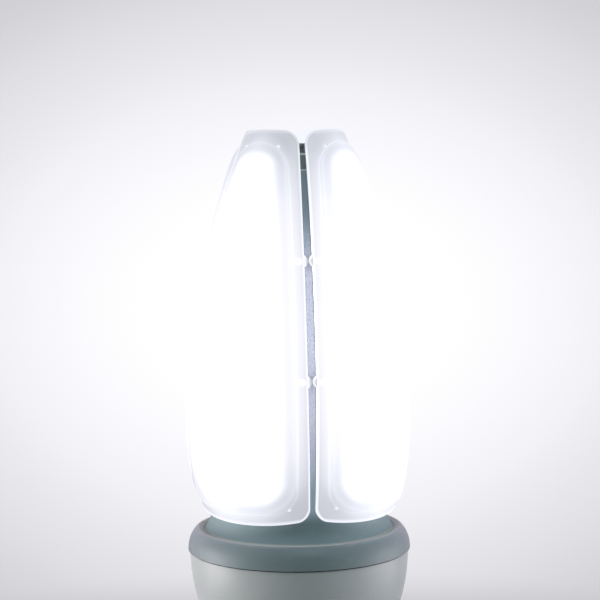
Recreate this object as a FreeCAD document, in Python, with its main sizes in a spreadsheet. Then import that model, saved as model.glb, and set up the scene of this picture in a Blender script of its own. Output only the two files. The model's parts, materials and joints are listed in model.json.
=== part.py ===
import FreeCAD, Part
import Sketcher
import math
import operator
import os
from types import SimpleNamespace

# LED lamp with a four-petal head and an E40 screw cap.
# The origin is the centre of the contact's flat face, and +Z runs up the lamp's axis to the head.
# The four gaps between the petals lie on the X and Y axes. Petal 1 is in the quadrant +X, -Y.

V = FreeCAD.Vector
UP = V(0, 0, 1)
PETALS = 4

# Driving dimensions in millimetres, angles in degrees: name, value and what it measures.
SIZES = [
    ("contact_radius", 7.0, "contact disc"),
    ("contact_depth", 2.2, "contact disc, along the axis"),
    ("contact_edge", 1.2, "rounding of the disc's edge"),
    ("stem_radius", 2.0, "contact stem"),
    ("stem_rise", 2.0, "stem above the insulator"),
    ("insulator_foot_radius", 9.0, "insulator beside the contact"),
    ("insulator_lip", 1.3, "insulator beyond the shell's mouth"),
    ("insulator_rise", 4.0, "insulator above the shell's lower rim"),
    ("shell_foot", 8.0, "height of the shell's lower rim"),
    ("shell_rim", 1.5, "flat rim round the shell's mouth"),
    ("shell_corner", 2.0, "rounding of the shell's lower corner"),
    ("shell_wall", 0.8, "sheet of the screw shell"),
    ("thread_crest_radius", 19.75, "E40 thread over its crests"),
    ("thread_depth", 1.8, "E40 thread from crest to root"),
    ("thread_pitch", 6.35, "E40 thread, four turns in an inch"),
    ("thread_start", 5.0, "first ridge above the shell's rim"),
    ("thread_rise", 19.5, "climb of the ridge"),
    ("thread_runout", 6.0, "length over which the ridge fades"),
    ("thread_clear", 5.0, "plain stretch between ridge and skirt"),
    ("skirt_step", 0.25, "skirt outside the thread's crests"),
    ("skirt_height", 7.5, "plain skirt above the thread"),
    ("housing_height", 54.7, "housing from skirt to rim"),
    ("housing_shoulder", 1.7, "housing beyond the skirt"),
    ("housing_wall", 2.2, "wall of the housing"),
    ("tongue_width", 1.1, "tongue on the housing's rim"),
    ("tongue_height", 3.2, "tongue above the rim"),
    ("seal_height", 0.6, "seal between rim and collar"),
    ("collar_width", 6.7, "collar beyond the heat sink's foot"),
    ("collar_overhang", 0.8, "collar beyond the housing"),
    ("collar_edge", 0.5, "upright lower edge of the collar"),
    ("collar_bow", 12.0, "radius of the collar's side"),
    ("collar_roll", 2.5, "radius of the collar's crest"),
    ("collar_turn", 40.0, "angle where the side meets the crest"),
    ("collar_dip", 10.0, "slope of the collar's top, inwards"),
    ("collar_ledge", 3.7, "plate inside the collar"),
    ("collar_margin", 6.0, "collar's plate inside the screws"),
    ("neck_flare", 3.0, "heat sink's foot beyond its neck"),
    ("neck_bow", 10.0, "radius of the neck's hollow side"),
    ("foot_height", 4.8, "upright part of the foot"),
    ("lid_clear", 0.7, "lid inside the housing"),
    ("lid_thickness", 2.3, "lid of the driver space"),
    ("grommet_wall", 2.8, "grommet in the lid"),
    ("grommet_flange", 1.5, "flange of the grommet, each way"),
    ("petal_lift", 16.3, "petals above the seam"),
    ("petal_length", 158.4, "petals, along the axis"),
    ("waist_rise", 38.4, "widest place above the petals' foot"),
    ("waist_radius", 45.0, "petals at their widest"),
    ("crown_share", 0.44, "petals' radius at their upper edge, as a share of the waist's"),
    ("hem_share", 0.891, "petals' radius at their lower edge, as a share of the waist's"),
    ("petal_gap", 2.3, "gap between two petals at their ends"),
    ("side_sag", 0.7, "petals' sides, from their ends back to mid-height"),
    ("petal_corner", 6.0, "rounded corner of a petal"),
    ("hem_sag", 2.8, "petals' lower edge, from its middle up to the gaps"),
    ("crown_sag", 0.8, "petals' upper edge, from its middle down to the gaps"),
    ("flange_width", 4.7, "flat border of a petal"),
    ("flange_thickness", 2.4, "flat border of a petal"),
    ("flange_edge", 0.7, "rounding of the border's outer edge"),
    ("lens_rise", 1.8, "lens above the flat border"),
    ("lens_wall", 1.5, "wall of the lens"),
    ("lens_corner", 11.0, "rounded corner of the lens"),
    ("lens_shoulder", 1.3, "rounding of the lens's shoulder"),
    ("ear_radius", 2.6, "half-round ear at a petal's side"),
    ("ear_reach", 1.2, "ear beyond the petal's side"),
    ("lower_ear_rise", 58.9, "lower ears above the petals' foot"),
    ("upper_ear_rise", 106.4, "upper ears above the petals' foot"),
    ("stud_radius", 1.0, "moulded stud in each corner"),
    ("stud_rise", 0.5, "stud above the border"),
    ("stud_side", 8.0, "stud from the petal's side"),
    ("stud_foot", 7.6, "lower studs above the petals' foot"),
    ("stud_crown", 6.8, "upper studs below the petals' top"),
    ("rivet_side", 2.6, "rivet from the petal's side"),
    ("rivet_head_radius", 1.1, "rivet head"),
    ("rivet_seat", 0.6, "seat of the rivet head below the surface"),
    ("rivet_radius", 0.8, "rivet shank"),
    ("rivet_hold", 3.0, "rivet shank in the heat sink"),
    ("gasket_thickness", 0.8, "seal behind a petal"),
    ("gasket_inset", 0.6, "seal from the petal's edge"),
    ("face_depth", 14.0, "heat sink's faces below the petals' surface"),
    ("sink_wall", 3.0, "wall of the heat sink"),
    ("recess_step", 1.1, "lower end of a face above the lens's hollow"),
    ("recess_headroom", 3.0, "upper end of a face below the top cap"),
    ("recess_corner", 6.0, "rounded corner of a face"),
    ("top_cap_drop", 9.5, "top cap below the petals' upper edge"),
    ("top_cap_height", 6.5, "top cap, along the axis"),
    ("top_cap_plate", 3.0, "plate of the top cap"),
    ("top_cap_wall", 1.3, "skirt of the top cap"),
    ("top_cap_edge", 1.0, "rounding of the top cap's edge"),
    ("board_thickness", 1.6, "LED board and driver board"),
    ("board_inset", 1.0, "LED board from the sides of its recess"),
    ("board_crown", 9.0, "LED board from the top of its recess"),
    ("chip_width", 3.5, "LED, across"),
    ("chip_height", 2.8, "LED, upwards"),
    ("chip_thickness", 0.8, "LED"),
    ("chip_pitch_across", 6.5, "LEDs from centre to centre, across"),
    ("chip_pitch_up", 7.0, "LEDs from centre to centre, upwards"),
    ("led_screw_spread", 12.0, "LED board screws from the middle"),
    ("led_screw_radius", 1.0, "LED board screws"),
    ("top_screw_inset", 3.0, "top cap's screws inside the spigot's edge"),
    ("top_screw_radius", 1.75, "top cap's screws"),
    ("top_screw_head", 3.8, "heads of the top cap's screws, upwards"),
    ("foot_screw_inset", 9.8, "foot's screws inside the foot's edge"),
    ("foot_screw_radius", 2.0, "foot's screws"),
    ("board_screw_radius", 1.4, "driver board's screws"),
    ("post_inset", 15.7, "driver board's posts inside the housing's rim"),
    ("post_radius", 3.2, "driver board's posts"),
    ("post_drop", 15.7, "driver board's lower face below the rim"),
    ("driver_board_margin", 2.8, "driver board beyond its posts"),
    ("lead_radius", 1.1, "leads to the LED boards"),
    ("lead_circle", 2.6, "leads in the grommet, from the axis"),
    ("lead_clear", 0.5, "leads inside the grommet"),
    ("lead_rise", 6.5, "lead's hole above a face's lower end"),
    ("lead_bore", 1.8, "leads' holes in the heat sink"),
    ("mains_wire_radius", 0.8, "wires to the cap"),
    ("mains_wire_x", 3.0, "wires to the cap, at the driver board"),
    ("mains_wire_slack", 8.0, "rise over which the wires shift aside"),
    ("transformer_x", -13.5, "transformer's middle"),
    ("core_length", 25.0, "transformer core"),
    ("core_width", 8.0, "transformer core"),
    ("core_height", 21.0, "transformer core"),
    ("core_leg", 4.0, "outer legs of the core"),
    ("core_clear", 3.0, "core below the driver board"),
    ("bobbin_wall", 1.0, "walls of the bobbin"),
    ("bulk_can_radius", 8.0, "bulk capacitor"),
    ("bulk_can_height", 26.0, "bulk capacitor"),
    ("bulk_can_clear", 4.7, "bulk capacitor from the housing's wall"),
    ("bulk_can_angle", 37.0, "bulk capacitor's direction, in degrees"),
    ("output_can_radius", 6.3, "output capacitor"),
    ("output_can_height", 22.0, "output capacitor"),
    ("output_can_clear", 9.4, "output capacitor from the housing's wall"),
    ("output_can_angle", -35.5, "output capacitor's direction, in degrees"),
    ("film_block_length", 6.0, "film capacitor"),
    ("film_block_width", 13.0, "film capacitor"),
    ("film_block_height", 12.0, "film capacitor"),
    ("film_block_x", 27.0, "film capacitor's middle"),
    ("film_block_y", 0.0, "film capacitor's middle"),
    ("bridge_length", 12.0, "bridge rectifier"),
    ("bridge_width", 5.0, "bridge rectifier"),
    ("bridge_height", 10.0, "bridge rectifier"),
    ("bridge_x", -8.0, "bridge rectifier's middle"),
    ("bridge_y", -18.0, "bridge rectifier's middle"),
    ("transistor_length", 10.0, "power transistor"),
    ("transistor_width", 4.6, "power transistor"),
    ("transistor_height", 15.0, "power transistor"),
    ("transistor_x", -12.0, "power transistor's middle"),
    ("transistor_y", 13.5, "power transistor's middle"),
    ("choke_ring_radius", 6.0, "choke, to the middle of its turns"),
    ("choke_turn_radius", 3.0, "choke, round its turns"),
    ("choke_x", 0.5, "choke's middle"),
    ("choke_y", 23.5, "choke's middle"),
    ("fuse_radius", 2.6, "fuse"),
    ("fuse_length", 11.0, "fuse"),
    ("fuse_x", -3.0, "fuse's end"),
    ("fuse_y", -26.0, "fuse's axis"),
    ("varistor_radius", 5.5, "varistor"),
    ("varistor_thickness", 4.0, "varistor"),
    ("varistor_x", 5.0, "varistor's axis"),
    ("varistor_y", -17.5, "varistor's inner face"),
    ("fit", 0.1, "clearance of pieces that slot into each other"),
]


class Size:
    """A length of the sheet, or a sum worked out from such lengths."""

    def __init__(self, text, value):
        self.text = text
        self.value = value

    def __add__(self, other):
        return joined(self, "+", other)

    def __radd__(self, other):
        return joined(other, "+", self)

    def __sub__(self, other):
        return joined(self, "-", other)

    def __rsub__(self, other):
        return joined(other, "-", self)

    def __mul__(self, other):
        return joined(self, "*", other)

    def __rmul__(self, other):
        return joined(other, "*", self)

    def __truediv__(self, other):
        return joined(self, "/", other)

    def __neg__(self):
        return joined(0, "-", self)


SIGNS = {"+": operator.add, "-": operator.sub, "*": operator.mul, "/": operator.truediv}


def as_size(value):
    """Take a plain number as a size."""
    if isinstance(value, Size):
        return value
    return Size(repr(float(value)), float(value))


def joined(left, sign, right):
    left = as_size(left)
    right = as_size(right)
    return Size(f"({left.text} {sign} {right.text})", SIGNS[sign](left.value, right.value))


def root(size):
    return Size(f"sqrt({size.text})", math.sqrt(size.value))


def cosine(angle):
    angle = as_size(angle)
    return Size(f"cos({angle.text})", math.cos(math.radians(angle.value)))


def sine(angle):
    angle = as_size(angle)
    return Size(f"sin({angle.text})", math.sin(math.radians(angle.value)))


doc = FreeCAD.newDocument("led_lamp")
sheet = doc.addObject("Spreadsheet::Sheet", "sizes")
for row, (name, value, meaning) in enumerate(SIZES, start=1):
    sheet.set(f"A{row}", name)
    sheet.set(f"B{row}", str(value))
    sheet.set(f"C{row}", meaning)
    sheet.setAlias(f"B{row}", name)
doc.recompute()
size = SimpleNamespace(**{name: Size(f"sizes.{name}", value) for name, value, meaning in SIZES})
sub_parts = []


# Heights up the axis, each from the one below it.

insulator_top = size.shell_foot + size.insulator_rise
stem_top = insulator_top + size.stem_rise
thread_foot = size.shell_foot + size.thread_start
skirt_foot = thread_foot + size.thread_rise + size.thread_clear
cap_top = skirt_foot + size.skirt_height
housing_rim = cap_top + size.housing_height
post_top = housing_rim - size.post_drop
board_top = post_top + size.board_thickness
seal_top = housing_rim + size.seal_height
lid_foot = seal_top - size.lid_thickness
collar_floor = seal_top + size.collar_ledge
petal_foot = seal_top + size.petal_lift
petal_top = petal_foot + size.petal_length
waist_height = petal_foot + size.waist_rise
lower_ear = petal_foot + size.lower_ear_rise
upper_ear = petal_foot + size.upper_ear_rise
top_cap_top = petal_top - size.top_cap_drop
top_cap_foot = top_cap_top - size.top_cap_height
hollow_foot = petal_foot + size.flange_width + size.lens_wall
hollow_top = top_cap_top - size.flange_thickness
recess_foot = hollow_foot + size.recess_step
recess_top = top_cap_foot - size.recess_headroom
lead_height = recess_foot + size.lead_rise
led_board_foot = recess_foot + size.board_inset
led_board_top = recess_top - size.board_crown

# Distances from the middle of a gap, and depths below the petals' surface.

end_side = size.petal_gap / 2
half_gap = end_side + size.side_sag / 2
lens_side = half_gap + size.flange_width
hollow_side = lens_side + size.lens_wall
recess_side = hollow_side - size.fit
board_side = recess_side + size.board_inset
sink_depth = size.flange_thickness + size.gasket_thickness
board_front = size.face_depth - size.board_thickness
surface = as_size(0)


def bow_of(rise, drop):
    """Radius of an arc that starts upright and has moved inwards by drop when it is rise further on."""
    return (rise * rise + drop * drop) / (2 * drop)


upper_bow = bow_of(size.petal_length - size.waist_rise, size.waist_radius * (1 - size.crown_share))
lower_bow = bow_of(size.waist_rise, size.waist_radius * (1 - size.hem_share))


# Helpers that draw, turn, pad and join.


def sub_part(thing):
    """Keep a finished piece, whose label names its node."""
    sub_parts.append(thing)
    return thing


def bind(thing, **sizes):
    """Tie properties of an object to the sheet."""
    for name, length in sizes.items():
        thing.setExpression(name, as_size(length).text)
    return thing


def place(thing, x=0, y=0, z=0, pointing=None, turn=0):
    """Set where a thing stands: its local Z points along the given way, then it turns about the axis."""
    rotation = FreeCAD.Rotation(UP, turn)
    if pointing is not None:
        rotation = rotation.multiply(FreeCAD.Rotation(UP, pointing))
    thing.Placement = FreeCAD.Placement(V(0, 0, 0), rotation)
    for letter, length in zip("xyz", (x, y, z)):
        thing.setExpression(f"Placement.Base.{letter}", as_size(length).text)
    return thing


def origin_feature(body, role):
    return next(feature for feature in body.Origin.OriginFeatures if feature.Role == role)


def arc_between(start, finish, bend):
    """The short arc between two points, counterclockwise, with its middle to the right of the chord."""
    if bend < 0:
        start, finish = finish, start
    chord = finish.sub(start)
    left = V(-chord.y, chord.x, 0).normalize()
    sagitta = abs(bend) - math.sqrt(max(bend**2 - chord.Length**2 / 4, 0))
    middle = start.add(chord * 0.5).sub(left * sagitta)
    return Part.Arc(start, middle, finish)


def draw(body, role, corners):
    """Draw a closed outline in one of the body's origin planes.

    A corner is (across, up), or (across, up, bend) where an arc of that radius leads to the next corner.
    A positive bend turns left and a negative one turns right.
    """
    sketch = body.newObject("Sketcher::SketchObject", body.Name + "_outline")
    sketch.AttachmentSupport = [(origin_feature(body, role), "")]
    sketch.MapMode = "FlatFace"
    corners = [tuple(as_size(length) for length in corner) for corner in corners]
    ends = []
    for corner, following in zip(corners, corners[1:] + corners[:1]):
        start = V(corner[0].value, corner[1].value, 0)
        finish = V(following[0].value, following[1].value, 0)
        bend = corner[2].value if len(corner) > 2 else 0
        sketch.addGeometry(arc_between(start, finish, bend) if bend else Part.LineSegment(start, finish))
        ends.append((2, 1) if bend < 0 else (1, 2))
    for index, (begin, end) in enumerate(ends):
        following = (index + 1) % len(ends)
        sketch.addConstraint(Sketcher.Constraint("Coincident", index, end, following, ends[following][0]))
    for index, corner in enumerate(corners):
        begin = ends[index][0]
        rules = [
            (Sketcher.Constraint("DistanceX", -1, 1, index, begin, corner[0].value), corner[0].text),
            (Sketcher.Constraint("DistanceY", -1, 1, index, begin, corner[1].value), corner[1].text),
        ]
        if len(corner) > 2:
            bend = corner[2] if corner[2].value > 0 else -corner[2]
            rules.append((Sketcher.Constraint("Radius", index, bend.value), bend.text))
        for constraint, text in rules:
            number = sketch.addConstraint(constraint)
            sketch.setExpression(f"Constraints[{number}]", text)
    return sketch


def turned(name, corners):
    """A body turned about the axis from an outline of (radius, height) corners."""
    body = doc.addObject("PartDesign::Body", name)
    revolution = body.newObject("PartDesign::Revolution", name + "_turned")
    revolution.Profile = draw(body, "XZ_Plane", corners)
    revolution.ReferenceAxis = (origin_feature(body, "Z_Axis"), [""])
    revolution.Angle = 360
    return body


def padded(name, role, corners, length, side="One side"):
    """A body padded from an outline in one of its origin planes."""
    body = doc.addObject("PartDesign::Body", name)
    pad = body.newObject("PartDesign::Pad", name + "_pad")
    pad.Profile = draw(body, role, corners)
    pad.SideType = side
    bind(pad, Length=length)
    return body


def cylinder(name, radius, height, x=0, y=0, z=0, pointing=None):
    thing = doc.addObject("Part::Cylinder", name)
    bind(thing, Radius=radius, Height=height)
    return place(thing, x, y, z, pointing)


def box(name, length, width, height, x=0, y=0, z=0):
    """A box with its lower corner at x, y, z."""
    thing = doc.addObject("Part::Box", name)
    bind(thing, Length=length, Width=width, Height=height)
    return place(thing, x, y, z)


def fused(name, *pieces):
    thing = doc.addObject("Part::MultiFuse", name)
    thing.Shapes = list(pieces)
    return thing


def common(name, *pieces):
    thing = doc.addObject("Part::MultiCommon", name)
    thing.Shapes = list(pieces)
    return thing


def group(name, pieces):
    thing = doc.addObject("Part::Compound", name)
    thing.Links = list(pieces)
    return thing


def cut(name, base, *tools):
    thing = doc.addObject("Part::Cut", name)
    thing.Base = base
    thing.Tool = tools[0] if len(tools) == 1 else group(name + "_tools", tools)
    return thing


def link(source, name, **where):
    """One more piece of the same shape, placed somewhere else."""
    thing = doc.addObject("App::Link", name)
    thing.LinkedObject = source
    return place(thing, **where)


def around(source, name):
    """The source in every petal's place, the first one where it was drawn."""
    return [source] + [
        link(source, f"{name}_{number}", turn=90 * (number - 1)) for number in range(2, PETALS + 1)
    ]


def at_angle(circle, angle):
    """The x and y of a place on a circle about the axis."""
    return {"x": circle * cosine(angle), "y": circle * sine(angle)}


# The head's surface: two arcs that meet at the waist, and surfaces a depth below them.


def head_radius(height, depth):
    """Radius at a height, a depth below the head's surface."""
    bow = upper_bow if height.value > waist_height.value else lower_bow
    rise = height - waist_height
    arc = bow - depth
    return size.waist_radius - bow + root(arc * arc - rise * rise)


def head_outline(outer_depth, inner_depth, foot, top):
    """The outline between two depths below the head's surface, from foot to top."""
    waist = waist_height
    return [
        (head_radius(foot, outer_depth), foot, lower_bow - outer_depth),
        (size.waist_radius - outer_depth, waist, upper_bow - outer_depth),
        (head_radius(top, outer_depth), top),
        (head_radius(top, inner_depth), top, inner_depth - upper_bow),
        (size.waist_radius - inner_depth, waist, inner_depth - lower_bow),
        (head_radius(foot, inner_depth), foot),
    ]


def depth_below_head(point):
    """How far a point lies below the head's surface."""
    bow = (upper_bow if point.z > waist_height.value else lower_bow).value
    across = math.hypot(point.x, point.y) - size.waist_radius.value + bow
    return bow - math.hypot(across, point.z - waist_height.value)


# Radii about the axis. The collar and the housing follow the heat sink's foot.

foot_radius = head_radius(petal_foot, sink_depth) + size.neck_flare
collar_radius = foot_radius + size.collar_width
housing_radius = collar_radius - size.collar_overhang
tongue_outer = housing_radius - size.housing_wall + size.tongue_width
lid_radius = housing_radius - size.housing_wall - size.lid_clear
thread_root_radius = size.thread_crest_radius - size.thread_depth
shell_mouth_radius = thread_root_radius - size.shell_corner - size.shell_rim
insulator_rim_radius = shell_mouth_radius + size.insulator_lip
skirt_radius = size.thread_crest_radius + size.skirt_step
housing_bow = bow_of(size.housing_height, housing_radius - skirt_radius - size.housing_shoulder)
grommet_bore = size.lead_circle + size.lead_radius + size.lead_clear
grommet_radius = grommet_bore + size.grommet_wall
spigot_radius = head_radius(top_cap_top, sink_depth) - size.top_cap_wall
top_screw_circle = spigot_radius - size.top_screw_inset
foot_screw_circle = foot_radius - size.foot_screw_inset
collar_bore = foot_screw_circle - size.collar_margin
post_circle = housing_radius - size.post_inset
driver_board_radius = post_circle + size.post_radius + size.driver_board_margin
reach = size.waist_radius + housing_radius

# Lengths of the screws and rivets follow what they hold together.

foot_screw_length = size.lid_thickness + size.collar_ledge + size.foot_height
board_screw_length = size.board_thickness + 3 * size.post_radius
top_screw_length = 4 * size.top_cap_plate
led_screw_length = size.board_thickness + size.sink_wall
rivet_length = sink_depth + size.rivet_hold


# The petals' ends bow, as arcs that are level at the middle of a petal and bend back towards its gaps.

hem_middle = head_radius(petal_foot, surface) * cosine(45)
crown_middle = head_radius(petal_top, surface) * cosine(45)
hem_bow = bow_of(hem_middle - half_gap, size.hem_sag)
crown_bow = bow_of(crown_middle - half_gap, size.crown_sag)


def straight_end(side, end, way, corner):
    """A petal's end from its side inwards: where its corner starts and ends, and no bow."""
    return [(side, end + way * corner, corner), (side + corner, end)]


def bowed_end(side, end, way, corner, middle, bow):
    """A petal's end from its side inwards: where its corner starts, where the bow starts, and the middle.

    Way is 1 at the foot and -1 at the top. The corner's arc lies against the bow from within.
    """
    lean = middle - side - corner
    drop = root((bow - corner) * (bow - corner) - lean * lean)
    share = bow / (bow - corner)
    bow_start = (middle - lean * share, end + way * (bow - drop * share), bow)
    return [(side, end + way * (bow - drop), corner), bow_start, (middle, end)]


def side_prism(name, role, hand, foot_end, top_end, side_sag):
    """A block beyond one of the petal's sides, between two ends that are given from the side inwards.

    Where a sag is given, the side bows into the block by it.
    """
    foot = foot_end[-1][1]
    top = top_end[-1][1]
    from_side = [(hand * place[0], place[1], *(hand * bend for bend in place[2:])) for place in foot_end]
    bends = [hand * place[2] for place in top_end[:-1]]
    to_side = [(hand * place[0], place[1]) for place in top_end]
    back = [(*place, bend) for place, bend in zip(reversed(to_side[1:]), reversed(bends))]
    side_start = to_side[0]
    if side_sag is not None:
        side_bow = bow_of((side_start[1] - from_side[0][1]) / 2, side_sag)
        side_start = (*side_start, -hand * side_bow)
    outline = [*from_side, (hand * reach, foot), (hand * reach, top), *back, side_start]
    return padded(name, role, outline, reach)


def within_petal(name, body, foot_end, top_end, side_sag=None):
    """The part of a body inside the first petal's bounds, whose ends are given from its sides inwards."""
    return common(
        name,
        body,
        side_prism(name + "_left", "XZ_Plane", 1, foot_end, top_end, side_sag),
        side_prism(name + "_right", "YZ_Plane", -1, foot_end, top_end, side_sag),
    )


def petal_block(name, foot_end, top_end, outer_depth, inner_depth, side_sag=None):
    """A curved block of the first petal, between two depths below the head's surface."""
    outline = head_outline(outer_depth, inner_depth, foot_end[-1][1], top_end[-1][1])
    return within_petal(name, turned(name + "_ring", outline), foot_end, top_end, side_sag)


def bent_slab(name, side, foot, top, corner, outer_depth, inner_depth):
    """A slab that is flat across the first petal and bent along its height."""
    outline = head_outline(outer_depth, inner_depth, foot, top)
    slab = padded(name + "_slab", "XZ_Plane", outline, reach, "Symmetric")
    place(slab, turn=-45)
    foot_end = straight_end(side, foot, 1, corner)
    return within_petal(name, slab, foot_end, straight_end(side, top, -1, corner))


def pan_screw(name, shank, length, tall=None):
    """A screw with a cross recess, seated at its local origin with its head upwards.

    The head and its recess keep their proportions to the shank's radius, unless the head's height is given.
    """
    head = 2 * shank
    edge = 0.6 * shank
    if tall is None:
        tall = 2 * edge
    recess = tall / 2
    slot = 0.6 * shank
    bar = 1.2 * head
    blank = turned(
        name + "_blank",
        [
            (0, -length),
            (shank, -length),
            (shank, 0),
            (head, 0),
            (head, tall - edge, edge),
            (head - edge, tall),
            (0, tall),
        ],
    )
    bars = [
        box(f"{name}_bar_{number}", long, wide, tall, -long / 2, -wide / 2, tall - recess)
        for number, (long, wide) in enumerate([(bar, slot), (slot, bar)])
    ]
    return cut(name, blank, *bars)


def cable(name, points, radius):
    """A wire of straight runs and tangent arcs, as large as the runs allow."""
    points = [V(*(as_size(length).value for length in point)) for point in points]
    edges = []
    start = points[0]
    for before, corner, after in zip(points, points[1:], points[2:]):
        inwards = before.sub(corner)
        onwards = after.sub(corner)
        trim = 0.45 * min(inwards.Length, onwards.Length)
        first = corner.add(inwards.normalize() * trim)
        last = corner.add(onwards.normalize() * trim)
        half_turn = (math.pi - inwards.getAngle(onwards)) / 2
        bend = trim / math.tan(half_turn)
        centre_way = inwards.add(onwards).normalize()
        middle = corner.add(centre_way * (bend / math.cos(half_turn) - bend))
        edges.append(Part.LineSegment(start, first).toShape())
        edges.append(Part.Arc(first, middle, last).toShape())
        start = last
    edges.append(Part.LineSegment(start, points[-1]).toShape())
    path = Part.Wire(edges)
    way = points[1].sub(points[0])
    section = Part.Wire([Part.makeCircle(radius.value, points[0], way)])
    thing = doc.addObject("Part::Feature", name)
    thing.Shape = path.makePipeShell([section], True, True)
    expected = math.pi * radius.value**2 * path.Length
    print(f"{name}: {thing.Shape.Volume:.2f} mm3, section times length {expected:.2f} mm3")
    return thing


# Screw cap.


def build_centre_contact():
    edge = size.contact_edge
    outline = [
        (0, 0),
        (size.contact_radius - edge, 0, edge),
        (size.contact_radius, edge),
        (size.contact_radius, size.contact_depth),
        (size.stem_radius, size.contact_depth),
        (size.stem_radius, stem_top),
        (0, stem_top),
    ]
    return turned("centre_contact", outline)


def build_cap_insulator():
    bore = size.stem_radius + size.fit
    throat = shell_mouth_radius - size.fit
    outline = [
        (bore, size.contact_depth),
        (size.insulator_foot_radius, size.contact_depth),
        (insulator_rim_radius, size.shell_foot),
        (throat, size.shell_foot),
        (throat, insulator_top),
        (bore, insulator_top),
    ]
    return turned("cap_insulator", outline)


def build_screw_shell():
    """Sheet shell with a rounded ridge that fades at both ends."""
    rooted = thread_root_radius
    wall = size.shell_wall
    corner = size.shell_corner
    flare_foot = skirt_foot - (skirt_radius - rooted)
    body = turned(
        "screw_shell",
        [
            (shell_mouth_radius, size.shell_foot),
            (rooted - corner, size.shell_foot, corner),
            (rooted, size.shell_foot + corner),
            (rooted, flare_foot),
            (skirt_radius, skirt_foot),
            (skirt_radius, cap_top),
            (skirt_radius - wall, cap_top),
            (skirt_radius - wall, skirt_foot),
            (rooted - wall, flare_foot),
            (rooted - wall, size.shell_foot + corner, wall - corner),
            (rooted - corner, size.shell_foot + wall),
            (shell_mouth_radius, size.shell_foot + wall),
        ],
    )
    depth = size.thread_depth
    half_pitch = size.thread_pitch / 2
    thread_arc = (half_pitch * half_pitch + depth * depth) / (4 * depth)
    flank = rooted + depth / 2
    half_ridge = half_pitch / 2
    sunk = wall / 2
    spread = half_ridge + (depth / 2 + sunk) * depth / half_pitch
    ridge = draw(
        body,
        "XZ_Plane",
        [
            (rooted - sunk, thread_foot - spread),
            (flank, thread_foot - half_ridge, thread_arc),
            (flank, thread_foot + half_ridge),
            (rooted - sunk, thread_foot + spread),
        ],
    )
    helix = body.newObject("PartDesign::AdditiveHelix", "screw_shell_thread")
    helix.Profile = ridge
    helix.ReferenceAxis = (origin_feature(body, "Z_Axis"), [""])
    helix.Mode = 0
    helix.Angle = 0
    bind(helix, Pitch=size.thread_pitch, Height=size.thread_rise)
    fade_foot = thread_foot - spread
    outer = rooted + 2 * depth
    fades = [
        [(rooted, fade_foot), (outer, fade_foot), (outer, fade_foot + size.thread_runout)],
        [(rooted, flare_foot), (outer, flare_foot - size.thread_runout), (outer, flare_foot)],
    ]
    for number, outline in enumerate(fades):
        groove = body.newObject("PartDesign::Groove", f"screw_shell_fade_{number}")
        groove.Profile = draw(body, "XZ_Plane", outline)
        groove.ReferenceAxis = (origin_feature(body, "Z_Axis"), [""])
        groove.Angle = 360
    return body


# Driver casing.


def bowl_radius(height, depth):
    """Radius of the housing's side at a height, a depth below its outer surface."""
    arc = housing_bow - depth
    drop = housing_rim - height
    return housing_radius - housing_bow + root(arc * arc - drop * drop)


def build_driver_housing():
    wall = size.housing_wall
    neck = skirt_radius - size.shell_wall - size.fit
    neck_foot = skirt_foot + wall / 2
    floor = cap_top + wall
    bowl = turned(
        "housing_bowl",
        [
            (neck, neck_foot),
            (neck, cap_top),
            (bowl_radius(cap_top, 0), cap_top, housing_bow),
            (housing_radius, housing_rim),
            (tongue_outer, housing_rim),
            (tongue_outer, housing_rim + size.tongue_height),
            (housing_radius - wall, housing_rim + size.tongue_height),
            (housing_radius - wall, housing_rim, wall - housing_bow),
            (bowl_radius(floor, wall), floor),
            (neck - wall, floor),
            (neck - wall, neck_foot),
        ],
    )
    filling = turned(
        "housing_filling",
        [
            (0, floor),
            (bowl_radius(floor, wall / 2), floor, housing_bow - wall / 2),
            (housing_radius - wall / 2, housing_rim),
            (0, housing_rim),
        ],
    )
    posts = []
    bores = []
    bore_depth = board_screw_length + size.post_radius / 2
    for number in range(PETALS):
        spot = at_angle(post_circle, 45 + 90 * number)
        post = cylinder(f"post_{number}", size.post_radius, post_top - floor, z=floor, **spot)
        posts.append(common(f"post_{number}_trimmed", post, filling))
        bore = size.board_screw_radius + size.fit / 2
        bores.append(cylinder(f"post_bore_{number}", bore, bore_depth, z=post_top - bore_depth, **spot))
    return cut("driver_housing", fused("housing_with_posts", bowl, *posts), *bores)


def build_collar_ring():
    foot = seal_top
    bow = size.collar_bow
    roll = size.collar_roll
    turn = size.collar_turn
    dip = size.collar_dip
    bow_centre = (collar_radius - bow, foot + size.collar_edge)
    roll_centre = (bow_centre[0] + (bow - roll) * cosine(turn), bow_centre[1] + (bow - roll) * sine(turn))
    shoulder = (bow_centre[0] + bow * cosine(turn), bow_centre[1] + bow * sine(turn))
    crest = (roll_centre[0] - roll * sine(dip), roll_centre[1] + roll * cosine(dip))
    bore = foot_radius + size.fit
    lip = crest[1] - (crest[0] - bore) * sine(dip) / cosine(dip)
    groove_top = housing_rim + size.tongue_height + size.fit
    ring = turned(
        "collar_blank",
        [
            (collar_bore, foot),
            (housing_radius - size.housing_wall - size.fit, foot),
            (housing_radius - size.housing_wall - size.fit, groove_top),
            (tongue_outer + size.fit, groove_top),
            (tongue_outer + size.fit, foot),
            (collar_radius, foot),
            (collar_radius, foot + size.collar_edge, bow),
            (*shoulder, roll),
            crest,
            (bore, lip),
            (bore, collar_floor),
            (collar_bore, collar_floor),
        ],
    )
    return cut("collar_ring", ring, *foot_screw_bores("collar", size.foot_screw_radius + 2 * size.fit))


def build_collar_gasket():
    return turned(
        "collar_gasket",
        [
            (tongue_outer + size.fit, housing_rim),
            (housing_radius - 2 * size.fit, housing_rim),
            (housing_radius - 2 * size.fit, seal_top),
            (tongue_outer + size.fit, seal_top),
        ],
    )


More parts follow.
